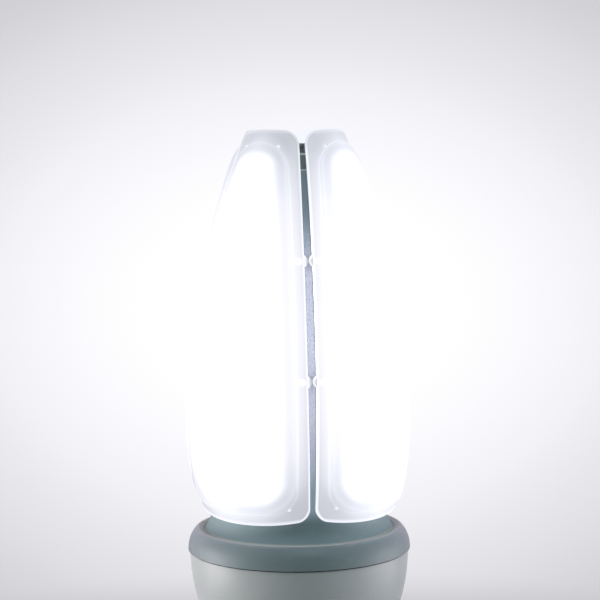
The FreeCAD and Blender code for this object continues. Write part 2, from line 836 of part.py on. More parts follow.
def build_driver_lid():
    plate = turned(
        "lid_blank",
        [
            (grommet_radius + size.fit / 2, lid_foot),
            (lid_radius, lid_foot),
            (lid_radius, seal_top),
            (grommet_radius + size.fit / 2, seal_top),
        ],
    )
    return cut("driver_lid", plate, *foot_screw_bores("lid", size.foot_screw_radius + 2 * size.fit))


def build_lead_grommet():
    flange = grommet_radius + size.grommet_flange
    return turned(
        "lead_grommet",
        [
            (grommet_bore, lid_foot - size.grommet_flange),
            (flange, lid_foot - size.grommet_flange),
            (flange, lid_foot),
            (grommet_radius, lid_foot),
            (grommet_radius, seal_top),
            (flange, seal_top),
            (flange, seal_top + size.grommet_flange),
            (grommet_bore, seal_top + size.grommet_flange),
        ],
    )


# Screws.


def foot_screw_bores(name, radius):
    return [
        cylinder(
            f"{name}_screw_bore_{number}",
            radius,
            foot_screw_length + size.sink_wall,
            z=lid_foot,
            **at_angle(foot_screw_circle, 90 * number),
        )
        for number in range(PETALS)
    ]


def ring_of_screws(name, screw, circle, first_angle, height, pointing=None):
    """One node of four equal screws on a circle about the axis."""
    links = [
        link(screw, f"{name}_at_{number}", z=height, pointing=pointing,
             **at_angle(circle, first_angle + 90 * number))
        for number in range(PETALS)
    ]
    return group(name, links)


def build_screws():
    foot_screw = pan_screw("foot_screw", size.foot_screw_radius, foot_screw_length)
    board_screw = pan_screw("board_screw", size.board_screw_radius, board_screw_length)
    top_screw = pan_screw("top_screw", size.top_screw_radius, top_screw_length, size.top_screw_head)
    yield ring_of_screws("foot_screws", foot_screw, foot_screw_circle, 0, lid_foot, V(0, 0, -1))
    yield ring_of_screws("board_screws", board_screw, post_circle, 45, board_top)
    yield ring_of_screws("top_cap_screws", top_screw, top_screw_circle, 0, top_cap_top)
    yield build_led_board_screws()


def led_screw_places():
    """Where the LED board screws stand, at the waist where the boards are upright."""
    seat = size.waist_radius - size.face_depth + size.board_thickness
    for number in range(PETALS):
        angle = 90 * number - 45
        outwards = V(math.cos(math.radians(angle)), math.sin(math.radians(angle)), 0)
        for spread in (size.led_screw_spread, -size.led_screw_spread):
            x = seat * cosine(angle) - spread * sine(angle)
            y = seat * sine(angle) + spread * cosine(angle)
            yield {"x": x, "y": y, "z": waist_height, "pointing": outwards}


def bore_below_origin(name, radius, depth):
    """A bore that goes down from its local origin, ready to be linked to a screw's seat."""
    return group(name, [cylinder(name + "_wall", radius, depth, z=-depth)])


def build_led_board_screws():
    screw = pan_screw("led_screw", size.led_screw_radius, led_screw_length)
    links = [
        link(screw, f"led_screw_at_{number}", **where) for number, where in enumerate(led_screw_places())
    ]
    return group("led_board_screws", links)


# Lamp head.


def rivet_places():
    """The first petal's four rivets: where each axis meets the surface, and the way it points."""
    side = half_gap + size.rivet_side
    for height in (lower_ear, upper_ear):
        radius = head_radius(height, 0)
        out = root(radius * radius - side * side)
        yield {"x": side, "y": -out, "z": height, "pointing": V(0, -1, 0)}
        yield {"x": out, "y": -side, "z": height, "pointing": V(1, 0, 0)}


def build_rivet():
    dome = bow_of(size.rivet_head_radius, size.rivet_seat - size.fit)
    return turned(
        "rivet",
        [
            (0, -rivet_length),
            (size.rivet_radius, -rivet_length),
            (size.rivet_radius, -size.rivet_seat),
            (size.rivet_head_radius, -size.rivet_seat),
            (size.rivet_head_radius, size.fit, dome),
            (0, size.rivet_seat),
        ],
    )


def build_rivet_bore():
    shank = size.rivet_radius + size.fit / 2
    head = size.rivet_head_radius + size.fit / 2
    return turned(
        "rivet_bore",
        [
            (0, -rivet_length - size.fit),
            (shank, -rivet_length - size.fit),
            (shank, -size.rivet_seat),
            (head, -size.rivet_seat),
            (head, size.lens_rise),
            (0, size.lens_rise),
        ],
    )


def first_petal_pins(name, radius, side, heights):
    """Long pins through the first petal, square to its two gaps."""
    pins = []
    for number, height in enumerate(heights):
        left = f"{name}_left_{number}"
        right = f"{name}_right_{number}"
        pins.append(cylinder(left, radius, reach, x=side, z=height, pointing=V(0, -1, 0)))
        pins.append(cylinder(right, radius, reach, y=-side, z=height, pointing=V(1, 0, 0)))
    return group(name, pins)


def rounded_rim(name, blank, depth, radius):
    """Round the edges of a petal block that lie a depth below the head's surface, except the waist line."""
    doc.recompute()
    waist = waist_height.value
    tolerance = 1e-3
    edges = []
    for number, edge in enumerate(blank.Shape.Edges, start=1):
        middle = edge.valueAt((edge.FirstParameter + edge.LastParameter) / 2)
        points = [vertex.Point for vertex in edge.Vertexes] + [middle]
        on_waist = all(abs(point.z - waist) < tolerance for point in points)
        on_rim = all(abs(depth_below_head(point) - depth.value) < tolerance for point in points)
        if on_rim and not on_waist:
            edges.append((number, radius.value, radius.value))
    fillet = doc.addObject("Part::Fillet", name)
    fillet.Base = blank
    fillet.Edges = edges
    return fillet


def build_diffuser_cover(bores):
    """Frosted petal: flat border, raised hollow lens, ears into the gaps and a stud in each corner."""
    foot = petal_foot
    top = petal_top
    thick = size.flange_thickness
    width = size.flange_width
    corner = size.lens_corner
    border_foot = bowed_end(end_side, foot, 1, size.petal_corner, hem_middle, hem_bow)
    border_top = bowed_end(end_side, top, -1, size.petal_corner, crown_middle, crown_bow)
    border = petal_block("cover_border", border_foot, border_top, surface, thick, size.side_sag)
    lens_foot = bowed_end(lens_side, foot + width, 1, corner, hem_middle, hem_bow - width)
    lens_top = straight_end(lens_side, top - width, -1, corner)
    lens = petal_block("cover_lens", lens_foot, lens_top, -size.lens_rise, thick)
    inner_corner = corner - size.lens_wall
    hollow_ends = (
        straight_end(hollow_side, hollow_foot, 1, inner_corner),
        straight_end(hollow_side, hollow_top, -1, inner_corner),
    )
    hollow = petal_block("cover_hollow", *hollow_ends, size.lens_wall - size.lens_rise, sink_depth)
    ear_centre = half_gap + size.ear_radius - size.ear_reach
    ear_pins = first_petal_pins("ear_pins", size.ear_radius, ear_centre, (lower_ear, upper_ear))
    ear_ring = turned("ear_ring", head_outline(surface, thick, foot, top))
    ears = common("cover_ears", ear_ring, ear_pins)
    border = rounded_rim("cover_border_rounded", border, surface, size.flange_edge)
    lens = rounded_rim("cover_lens_rounded", lens, -size.lens_rise, size.lens_shoulder)
    stud_heights = (foot + size.stud_foot, top - size.stud_crown)
    stud_pins = first_petal_pins("stud_pins", size.stud_radius, half_gap + size.stud_side, stud_heights)
    stud_ring = turned("stud_ring", head_outline(-size.stud_rise, thick / 2, foot, top))
    studs = common("cover_studs", stud_ring, stud_pins)
    return cut("diffuser_cover_1", fused("cover_blank", border, lens, ears, studs), hollow, *bores)


def build_cover_gasket(bores):
    inset = size.gasket_inset
    side = half_gap + inset
    corner = size.petal_corner - inset
    outer_foot = bowed_end(side, petal_foot + inset, 1, corner, hem_middle, hem_bow - inset)
    outer_top = straight_end(side, top_cap_top - 2 * size.top_cap_edge, -1, corner)
    outer = petal_block("gasket_outer", outer_foot, outer_top, size.flange_thickness, sink_depth)
    side = recess_side - inset
    corner = size.recess_corner + inset
    inner_foot = straight_end(side, recess_foot - inset, 1, corner)
    inner_top = straight_end(side, hollow_top, -1, corner)
    outside = size.flange_thickness - size.fit
    inner = petal_block("gasket_inner", inner_foot, inner_top, outside, sink_depth + size.fit)
    return cut("cover_gasket_1", outer, inner, *bores)


def build_led_board(screw_bore):
    """The first petal's board, with the bores of its two screws."""
    corner = size.recess_corner - size.board_inset
    board = bent_slab(
        "led_board_blank", board_side, led_board_foot, led_board_top, corner, board_front, size.face_depth
    )
    bores = [
        link(screw_bore, f"led_board_bore_{number}", **where)
        for number, where in enumerate(list(led_screw_places())[:2])
    ]
    return cut("led_board_1", board, *bores)


def chip_rows():
    """The heights of the LED rows and the number of LEDs in each, as many as the board's width takes."""
    foot = led_board_foot.value
    top = led_board_top.value
    pitch = size.chip_pitch_up.value
    edge = board_side.value * math.sqrt(2)
    rows = int((top - foot - pitch) // pitch)
    first = (foot + top) / 2 - pitch * (rows - 1) / 2
    for row in range(rows):
        height = first + pitch * row
        face = head_radius(as_size(height), size.face_depth).value
        room = 2 * (face - edge - size.board_inset.value) - size.chip_width.value
        columns = 1 + int(room // size.chip_pitch_across.value)
        yield height, columns


def build_led_chips():
    """LEDs in rows up the first board, each tilted to the board's slope, clear of the screw heads."""
    clear = 2 * size.led_screw_radius.value + size.chip_width.value
    chips = []
    for height, columns in chip_rows():
        face = head_radius(as_size(height), board_front).value
        bow = (upper_bow if height > waist_height.value else lower_bow).value - board_front.value
        slope = math.degrees(math.asin((height - waist_height.value) / bow))
        for column in range(columns):
            across = (column - (columns - 1) / 2) * size.chip_pitch_across.value
            to_screw = math.hypot(abs(across) - size.led_screw_spread.value, height - waist_height.value)
            if to_screw < clear:
                continue
            chip = Part.makeBox(
                size.chip_thickness.value,
                size.chip_width.value,
                size.chip_height.value,
                V(0, -size.chip_width.value / 2, -size.chip_height.value / 2),
            )
            chip.rotate(V(0, 0, 0), V(0, 1, 0), -slope)
            chip.translate(V(face, across, height))
            chip.rotate(V(0, 0, 0), UP, -45)
            chips.append(chip)
    thing = doc.addObject("Part::Feature", "led_chips_1")
    thing.Shape = Part.makeCompound(chips)
    return thing


def build_heat_sink(rivet_bores, screw_bore):
    """Hollow casting with four faces for the boards, and ridges and lands that carry the petals."""
    inner_depth = size.face_depth + size.sink_wall
    neck_foot = collar_floor + size.foot_height
    spigot_top = top_cap_top - size.top_cap_plate
    waist = waist_height
    casting = turned(
        "sink_casting",
        [
            (head_radius(collar_floor, inner_depth), collar_floor),
            (foot_radius, collar_floor),
            (foot_radius, neck_foot, -size.neck_bow),
            (head_radius(petal_foot, sink_depth), petal_foot, lower_bow - sink_depth),
            (size.waist_radius - sink_depth, waist, upper_bow - sink_depth),
            (head_radius(top_cap_foot, sink_depth), top_cap_foot),
            (spigot_radius, top_cap_foot),
            (spigot_radius, spigot_top),
            (head_radius(spigot_top, inner_depth), spigot_top, inner_depth - upper_bow),
            (size.waist_radius - inner_depth, waist, inner_depth - lower_bow),
        ],
    )
    recess = bent_slab(
        "sink_recess",
        recess_side,
        recess_foot,
        recess_top,
        size.recess_corner,
        -size.lens_rise,
        size.face_depth,
    )
    lead_wall = cylinder("lead_hole_wall", size.lead_bore, reach, z=lead_height, pointing=V(1, -1, 0))
    lead_hole = group("lead_hole", [lead_wall])
    tools = around(recess, "sink_recess_at") + around(lead_hole, "lead_hole_at")
    tools += foot_screw_bores("sink", size.foot_screw_radius + size.fit / 2)
    for number in range(PETALS):
        bore = cylinder(
            f"sink_top_bore_{number}",
            size.top_screw_radius + size.fit / 2,
            top_screw_length,
            z=top_cap_top - top_screw_length - size.fit,
            **at_angle(top_screw_circle, 90 * number),
        )
        tools.append(bore)
    for number, where in enumerate(led_screw_places()):
        tools.append(link(screw_bore, f"sink_led_bore_{number}", **where))
    pattern = group("rivet_bores_of_petal", rivet_bores)
    tools += around(pattern, "sink_rivet_bores")
    return cut("heat_sink", casting, *tools)


def build_top_cap():
    edge = size.top_cap_edge
    shoulder = top_cap_top - edge
    inner_top = top_cap_top - size.top_cap_plate
    bore = spigot_radius + size.fit
    outer = head_radius(shoulder, sink_depth)
    blank = turned(
        "top_cap_blank",
        [
            (0, inner_top),
            (bore, inner_top),
            (bore, top_cap_foot),
            (head_radius(top_cap_foot, sink_depth), top_cap_foot, upper_bow - sink_depth),
            (outer, shoulder, edge),
            (outer - edge, top_cap_top),
            (0, top_cap_top),
        ],
    )
    bores = [
        cylinder(
            f"top_cap_bore_{number}",
            size.top_screw_radius + size.fit,
            2 * size.top_cap_plate,
            z=top_cap_top - 1.5 * size.top_cap_plate,
            **at_angle(top_screw_circle, 90 * number),
        )
        for number in range(PETALS)
    ]
    return cut("top_cap", blank, *bores)


# Driver parts. They hang below the driver board, clear of the posts and of each other.


def hanging_box(name, length, width, height, x, y):
    """A block below the driver board, centred at x and y."""
    return box(name, length, width, height, x - length / 2, y - width / 2, post_top - height)


def hanging_can(name, radius, height, clear, angle):
    """A can below the driver board, whose lower end stands a clearance from the housing's wall."""
    foot = post_top - height
    circle = bowl_radius(foot, size.housing_wall) - clear - radius
    return cylinder(name, radius, height, z=foot, **at_angle(circle, angle))


def build_driver_board():
    plate = cylinder("driver_board_blank", driver_board_radius, size.board_thickness, z=post_top)
    bores = [
        cylinder(
            f"driver_board_bore_{number}",
            size.board_screw_radius + 2 * size.fit,
            3 * size.board_thickness,
            z=post_top - size.board_thickness,
            **at_angle(post_circle, 45 + 90 * number),
        )
        for number in range(PETALS)
    ]
    return cut("driver_board", plate, *bores)


def build_transformer():
    """E-shaped ferrite pair on a flanged bobbin, with its winding between the flanges."""
    x = size.transformer_x
    leg = size.core_leg
    wall = size.bobbin_wall
    wide = size.core_width
    window = size.core_height - 2 * leg
    core_foot = post_top - size.core_clear - size.core_height
    window_foot = core_foot + leg
    half_space = size.core_length / 2 - 2 * leg
    core_end = x - size.core_length / 2
    outer = box("core_outer", size.core_length, wide, size.core_height, core_end, -wide / 2, core_foot)
    windows = [
        box(f"core_window_{hand}", half_space, 2 * wide, window, edge, -wide, window_foot)
        for hand, edge in (("left", core_end + leg), ("right", x + leg))
    ]
    yield cut("transformer_core", outer, *windows)

    hole_length = 2 * leg + size.fit
    hole_width = wide + size.fit
    tube_length = hole_length + 2 * wall
    tube_width = hole_width + 2 * wall
    flange_length = size.core_length - 2 * leg - size.fit
    flange_width = wide + 2 * half_space
    tall = window - size.fit
    foot = window_foot + size.fit / 2

    def centred(name, length, width, height, z):
        return box(name, length, width, height, x - length / 2, -width / 2, z)

    tube = centred("bobbin_tube", tube_length, tube_width, tall, foot)
    plates = [
        centred("bobbin_lower_flange", flange_length, flange_width, wall, foot),
        centred("bobbin_upper_flange", flange_length, flange_width, wall, foot + tall - wall),
    ]
    hole = centred("bobbin_hole", hole_length, hole_width, 2 * window, foot - window / 2)
    reach_up = post_top - foot
    skirts = [
        box(f"bobbin_skirt_{hand}", flange_length, wall, reach_up, x - flange_length / 2, edge, foot)
        for hand, edge in (("front", -flange_width / 2), ("back", flange_width / 2 - wall))
    ]
    yield cut("transformer_bobbin", fused("bobbin_blank", tube, *plates, *skirts), hole)

    coil_foot = foot + wall + size.fit
    coil_height = tall - 2 * wall - 2 * size.fit
    coil_length = flange_length - size.fit
    coil_width = flange_width - 2 * wall - 2 * size.fit
    coil = centred("winding_blank", coil_length, coil_width, coil_height, coil_foot)
    inside_foot = coil_foot - coil_height / 2
    inside_length = tube_length + size.fit
    inside_width = tube_width + size.fit
    inside = centred("winding_inside", inside_length, inside_width, 2 * coil_height, inside_foot)
    yield cut("transformer_winding", coil, inside)


def build_driver_parts():
    """The loose parts below the driver board."""
    yield hanging_can(
        "bulk_capacitor",
        size.bulk_can_radius,
        size.bulk_can_height,
        size.bulk_can_clear,
        size.bulk_can_angle,
    )
    yield hanging_can(
        "output_capacitor",
        size.output_can_radius,
        size.output_can_height,
        size.output_can_clear,
        size.output_can_angle,
    )
    yield hanging_box(
        "film_capacitor",
        size.film_block_length,
        size.film_block_width,
        size.film_block_height,
        size.film_block_x,
        size.film_block_y,
    )
    yield hanging_box(
        "bridge_rectifier",
        size.bridge_length,
        size.bridge_width,
        size.bridge_height,
        size.bridge_x,
        size.bridge_y,
    )
    yield hanging_box(
        "power_transistor",
        size.transistor_length,
        size.transistor_width,
        size.transistor_height,
        size.transistor_x,
        size.transistor_y,
    )
    choke = doc.addObject("Part::Torus", "choke")
    bind(choke, Radius1=size.choke_ring_radius, Radius2=size.choke_turn_radius)
    yield place(choke, size.choke_x, size.choke_y, post_top - size.choke_turn_radius)
    yield cylinder(
        "fuse",
        size.fuse_radius,
        size.fuse_length,
        size.fuse_x,
        size.fuse_y,
        post_top - size.fuse_radius,
        V(1, 0, 0),
    )
    yield cylinder(
        "varistor",
        size.varistor_radius,
        size.varistor_thickness,
        size.varistor_x,
        size.varistor_y,
        post_top - size.varistor_radius,
        V(0, -1, 0),
    )


def build_mains_wires():
    """One wire from the contact's stem and one from the shell's wall, both up to the driver board."""
    slack = size.mains_wire_slack
    aside = size.mains_wire_x
    line = [
        (0, 0, stem_top),
        (0, 0, cap_top - slack),
        (aside, 0, cap_top + slack),
        (aside, 0, post_top),
    ]
    yield cable("line_wire", line, size.mains_wire_radius)
    wall = thread_root_radius - size.shell_wall - size.mains_wire_radius - size.fit / 2
    neutral = [
        (0, -wall, thread_foot + slack),
        (0, -wall, thread_foot + 2 * slack),
        (0, aside - wall, cap_top - slack),
        (aside, aside - wall, cap_top + slack),
        (aside, aside - wall, post_top),
    ]
    yield cable("neutral_wire", neutral, size.mains_wire_radius)


def build_led_lead():
    """Lead of the first petal: up from the driver board and out through the heat sink to its LED board."""
    face = head_radius(lead_height, size.face_depth)

    def outwards(radius, height):
        return (radius * cosine(-45), radius * sine(-45), height)

    points = [
        outwards(size.lead_circle, board_top),
        outwards(size.lead_circle, collar_floor),
        outwards(size.lead_circle + (face - size.lead_circle) / 3, lead_height - 2 * size.lead_bore),
        outwards(face - size.sink_wall - 2 * size.lead_bore, lead_height),
        outwards(face - size.lead_radius / 2, lead_height),
    ]
    return cable("led_lead_1", points, size.lead_radius)


# Assembly, from the cap up.

for piece in (build_screw_shell(), build_cap_insulator(), build_centre_contact()):
    sub_part(piece)
for piece in (build_driver_housing(), build_collar_ring(), build_collar_gasket()):
    sub_part(piece)
for piece in (build_driver_lid(), build_lead_grommet()):
    sub_part(piece)
for screws in build_screws():
    sub_part(screws)

led_screw_wall = size.led_screw_radius + size.fit / 2
led_screw_bore = bore_below_origin("led_screw_bore", led_screw_wall, led_screw_length + size.fit)
rivet = build_rivet()
rivet_bore = build_rivet_bore()
rivets = []
rivet_bores = []
for number, where in enumerate(rivet_places()):
    rivets.append(link(rivet, f"rivet_at_{number}", **where))
    rivet_bores.append(link(rivet_bore, f"rivet_bore_at_{number}", **where))
sub_part(build_heat_sink(rivet_bores, led_screw_bore))
sub_part(build_top_cap())
repeated = {
    "led_board": build_led_board(led_screw_bore),
    "led_chips": build_led_chips(),
    "cover_gasket": build_cover_gasket(rivet_bores),
    "diffuser_cover": build_diffuser_cover(rivet_bores),
    "cover_rivets": group("cover_rivets_1", rivets),
    "led_lead": build_led_lead(),
}
for name, source in repeated.items():
    for piece in around(source, name):
        sub_part(piece)

sub_part(build_driver_board())
for piece in build_transformer():
    sub_part(piece)
for piece in build_driver_parts():
    sub_part(piece)
for piece in build_mains_wires():
    sub_part(piece)

doc.recompute()
for thing in doc.Objects:
    if "Invalid" in thing.State or "Error" in thing.State:
        raise RuntimeError(f"{thing.Name} failed: {thing.State}")
shapes = {piece.Label: Part.getShape(piece) for piece in sub_parts}
for label, shape in shapes.items():
    if shape.isNull() or not shape.isValid() or not shape.Solids:
        raise RuntimeError(f"{label} has no valid solid")
os.makedirs("parts", exist_ok=True)
for label, shape in shapes.items():
    shape.exportStep(f"parts/{label}.step")
    print(f"{label}: {len(shape.Solids)} solids, {shape.Volume:.1f} mm3")
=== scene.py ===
"""Looks of a screw-cap lamp whose head has four glowing petals round a grey cast core."""

import json
import logging
import math
from dataclasses import dataclass
from enum import Enum

import bmesh
import bpy
from mathutils import Matrix, Vector

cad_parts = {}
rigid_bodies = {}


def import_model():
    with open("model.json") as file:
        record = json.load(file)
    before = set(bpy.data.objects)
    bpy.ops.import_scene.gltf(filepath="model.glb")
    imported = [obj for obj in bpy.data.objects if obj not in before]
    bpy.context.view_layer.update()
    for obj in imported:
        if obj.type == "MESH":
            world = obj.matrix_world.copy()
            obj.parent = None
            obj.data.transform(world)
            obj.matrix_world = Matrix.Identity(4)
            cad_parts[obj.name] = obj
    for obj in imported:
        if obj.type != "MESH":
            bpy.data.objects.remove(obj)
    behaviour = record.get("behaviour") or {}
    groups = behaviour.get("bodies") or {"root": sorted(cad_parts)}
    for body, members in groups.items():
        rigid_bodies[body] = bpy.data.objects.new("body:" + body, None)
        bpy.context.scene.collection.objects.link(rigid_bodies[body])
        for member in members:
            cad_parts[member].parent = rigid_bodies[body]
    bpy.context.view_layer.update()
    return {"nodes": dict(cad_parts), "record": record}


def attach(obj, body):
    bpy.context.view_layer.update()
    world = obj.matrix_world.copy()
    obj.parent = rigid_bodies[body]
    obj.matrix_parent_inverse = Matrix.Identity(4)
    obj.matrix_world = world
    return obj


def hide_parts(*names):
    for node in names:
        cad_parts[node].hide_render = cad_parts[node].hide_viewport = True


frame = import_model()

LOG = logging.getLogger("lamp")
MM = 0.001
BODY = "root"
PETALS = 4
EAR_HEIGHTS = (175.5, 223.0)
SHARP_ANGLE = math.radians(38)
SAME_PLACE = 1e-6
Point = tuple[float, float, float]
Colour = tuple[float, float, float]
Span = tuple[float, float]
Stops = tuple[Span, ...]
BLACK: Colour = (0.0, 0.0, 0.0)
WHITE: Colour = (1.0, 1.0, 1.0)


class Facing(Enum):
    """Ways in which a surface's fine marks run."""

    EVEN = "even"
    TURNED = "turned"
    LAMINATED = "laminated"


# How the marks are stretched along X, Y and Z for each way.
STRETCH = {Facing.EVEN: (1, 1, 1), Facing.TURNED: (0.06, 0.06, 1.6), Facing.LAMINATED: (1, 1, 4)}

# The shared grain group: its inputs with their first values, its outputs, and the noises' settings.
GRAIN_INPUTS = (("Grain", 900.0), ("Blotch", 40.0), ("Low", 0.3), ("High", 0.5))
GRAIN_OUTPUTS = ("Height", "Mask", "Roughness")
GRAIN_DETAIL = 3.0
BLOTCH_DETAIL = 5.0
BLOTCH_SPAN: Span = (0.3, 0.7)

# Places of the sockets on Blender's Mix node, which has a set for each kind of value.
MIX_SHARE = 0
MIX_VALUES = (2, 3)
MIX_VALUE_OUT = 0
MIX_COLOURS = (6, 7)
MIX_COLOUR_OUT = 2


# Node trees.


class Wire:
    """A value in a node tree, which joins to others with the usual signs."""

    def __init__(self, pad: "NodePad", socket: bpy.types.NodeSocket) -> None:
        """Keep the tree's pad and the socket that gives the value.

        Args:
            pad: The pad of the tree that the value is in.
            socket: The output that gives the value.
        """
        self.pad = pad
        self.socket = socket

    def __add__(self, other: "Wire | float") -> "Wire":
        """Sum."""
        return self.pad.math("ADD", self, other)

    def __sub__(self, other: "Wire | float") -> "Wire":
        """Difference."""
        return self.pad.math("SUBTRACT", self, other)

    def __rsub__(self, other: float) -> "Wire":
        """Difference from a plain number."""
        return self.pad.math("SUBTRACT", other, self)

    def __mul__(self, other: "Wire | float") -> "Wire":
        """Product."""
        return self.pad.math("MULTIPLY", self, other)

    def least(self, other: "Wire | float") -> "Wire":
        """The smaller of two values."""
        return self.pad.math("MINIMUM", self, other)

    def most(self, other: "Wire | float") -> "Wire":
        """The larger of two values."""
        return self.pad.math("MAXIMUM", self, other)

    def size(self) -> "Wire":
        """The value without its sign."""
        return self.pad.math("ABSOLUTE", self)

    def above(self, limit: "Wire | float") -> "Wire":
        """One where the value is above the limit, and nought elsewhere."""
        return self.pad.math("GREATER_THAN", self, limit)

    def step(self, low: float, high: float) -> "Wire":
        """A soft step from nought to one.

        Args:
            low: Where the step is at nought.
            high: Where it is at one, which may be the smaller of the two.

        Returns:
            The step.
        """
        node = self.pad.add("ShaderNodeMapRange", interpolation_type="SMOOTHSTEP")
        ends = (low, high, 0.0, 1.0) if low < high else (high, low, 1.0, 0.0)
        self.pad.feed(node, "Value", self)
        for name, value in zip(("From Min", "From Max", "To Min", "To Max"), ends):
            node.inputs[name].default_value = value
        return Wire(self.pad, node.outputs["Result"])

    def between(self, rising: Span, falling: Span) -> "Wire":
        """One between a rising and a falling soft step, and nought outside them."""
        return self.step(*rising) * self.step(*falling)

    def mixed(self, other: "Wire | float", share: "Wire") -> "Wire":
        """This value where the share is nought, and the other one where it is one.

        Args:
            other: The value at a share of one.
            share: How much of the other value to take.

        Returns:
            The mixture.
        """
        node = self.pad.add("ShaderNodeMix", data_type="FLOAT")
        self.pad.feed(node, MIX_SHARE, share)
        for slot, value in zip(MIX_VALUES, (self, other)):
            self.pad.feed(node, slot, value)
        return Wire(self.pad, node.outputs[MIX_VALUE_OUT])


class NodePad:
    """Adds nodes to one tree and joins them."""

    def __init__(self, tree: bpy.types.NodeTree) -> None:
        """Work on a tree.

        Args:
            tree: The tree that the nodes go into.
        """
        self.tree = tree

    def add(self, kind: str, **settings: object) -> bpy.types.Node:
        """Add a node.

        Args:
            kind: The node's type.
            settings: Values of the node's own properties.

        Returns:
            The new node.
        """
        node = self.tree.nodes.new(kind)
        for name, value in settings.items():
            setattr(node, name, value)
        return node

    def feed(self, node: bpy.types.Node, slot: str | int, value: object) -> None:
        """Give a node's input a value, or join it to a wire.

        Args:
            node: The node that takes the value.
            slot: Name or place of its input.
            value: A wire, a socket or a plain value.
        """
        target = node.inputs[slot]
        if isinstance(value, Wire):
            self.tree.links.new(value.socket, target)
        elif isinstance(value, bpy.types.NodeSocket):
            self.tree.links.new(value, target)
        else:
            target.default_value = value

    def math(self, operation: str, *values: Wire | float) -> Wire:
        """Join values by one sum.

        Args:
            operation: Blender's name for the sum.
            values: The values that go in.

        Returns:
            The result.
        """
        node = self.add("ShaderNodeMath", operation=operation)
        for slot, value in enumerate(values):
            self.feed(node, slot, value)
        return Wire(self, node.outputs[0])

    def distance(self, first: Wire, second: Wire) -> Wire:
        """Length of the long side over two values."""
        return self.math("SQRT", first * first + second * second)

    def object_axes(self) -> tuple[Wire, Wire, Wire]:
        """Places in the lamp's own frame.

        Returns:
            X, Y and Z in millimetres.
        """
        place = self.add("ShaderNodeTexCoord")
        apart = self.add("ShaderNodeSeparateXYZ")
        self.tree.links.new(place.outputs["Object"], apart.inputs[0])
        return tuple(Wire(self, apart.outputs[axis]) * (1 / MM) for axis in range(3))

    def ramp(self, value: Wire, ends: Span, stops: Stops) -> Wire:
        """Read a value off a line of stops.

        Args:
            value: Where to read.
            ends: The values at the line's start and end.
            stops: Pairs of value and height, with heights from 0 to 1.

        Returns:
            The height at that value.
        """
        node = self.add("ShaderNodeValToRGB")
        low, high = ends
        span = high - low
        line = node.color_ramp
        line.interpolation = "LINEAR"
        while len(line.elements) < len(stops):
            line.elements.new(0.5)
        for element, (at, height) in zip(line.elements, stops):
            element.position = (at - low) / span
            element.color = (height, height, height, 1)
        self.feed(node, "Fac", (value - low) * (1 / span))
        return Wire(self, node.outputs["Color"])

    def blend(
        self, share: Wire | float, first: Wire | Colour, second: Wire | Colour, way: str = "MIX"
    ) -> Wire:
        """A colour made of two.

        Args:
            share: How much of the second colour to take.
            first: Colour or wire at nought.
            second: Colour or wire at one.
            way: Blender's name for the way in which the second colour acts on the first.

        Returns:
            The colour.
        """
        node = self.add("ShaderNodeMix", data_type="RGBA", blend_type=way)
        self.feed(node, MIX_SHARE, share)
        for slot, value in zip(MIX_COLOURS, (first, second)):
            self.feed(node, slot, (*value, 1) if isinstance(value, tuple) else value)
        return Wire(self, node.outputs[MIX_COLOUR_OUT])


def surface_grain() -> bpy.types.NodeTree:
    """Shader group of fine grain and broad blotches, shared by all finishes.

    Returns:
        The group, with inputs Grain, Blotch, Stretch, Low and High and outputs Height, Mask and Roughness.
    """
    name = "surface_grain"
    tree = bpy.data.node_groups.get(name)
    if tree is not None:
        return tree
    tree = bpy.data.node_groups.new(name, "ShaderNodeTree")
    for label, value in GRAIN_INPUTS:
        socket = tree.interface.new_socket(label, in_out="INPUT", socket_type="NodeSocketFloat")
        socket.default_value = value
    socket = tree.interface.new_socket("Stretch", in_out="INPUT", socket_type="NodeSocketVector")
    socket.default_value = STRETCH[Facing.EVEN]
    for label in GRAIN_OUTPUTS:
        tree.interface.new_socket(label, in_out="OUTPUT", socket_type="NodeSocketFloat")
    pad = NodePad(tree)
    inner = pad.add("NodeGroupInput")
    outer = pad.add("NodeGroupOutput")
    place = pad.add("ShaderNodeTexCoord")
    stretched = pad.add("ShaderNodeVectorMath", operation="MULTIPLY")
    pad.feed(stretched, 0, place.outputs["Object"])
    pad.feed(stretched, 1, inner.outputs["Stretch"])
    fine = pad.add("ShaderNodeTexNoise")
    broad = pad.add("ShaderNodeTexNoise")
    for node, scale, detail in ((fine, "Grain", GRAIN_DETAIL), (broad, "Blotch", BLOTCH_DETAIL)):
        pad.feed(node, "Vector", stretched.outputs[0])
        pad.feed(node, "Scale", inner.outputs[scale])
        node.inputs["Detail"].default_value = detail
    mask = Wire(pad, broad.outputs["Fac"]).step(*BLOTCH_SPAN)
    low = Wire(pad, inner.outputs["Low"])
    pad.feed(outer, "Height", fine.outputs["Fac"])
    pad.feed(outer, "Mask", mask)
    pad.feed(outer, "Roughness", low.mixed(Wire(pad, inner.outputs["High"]), mask))
    return tree


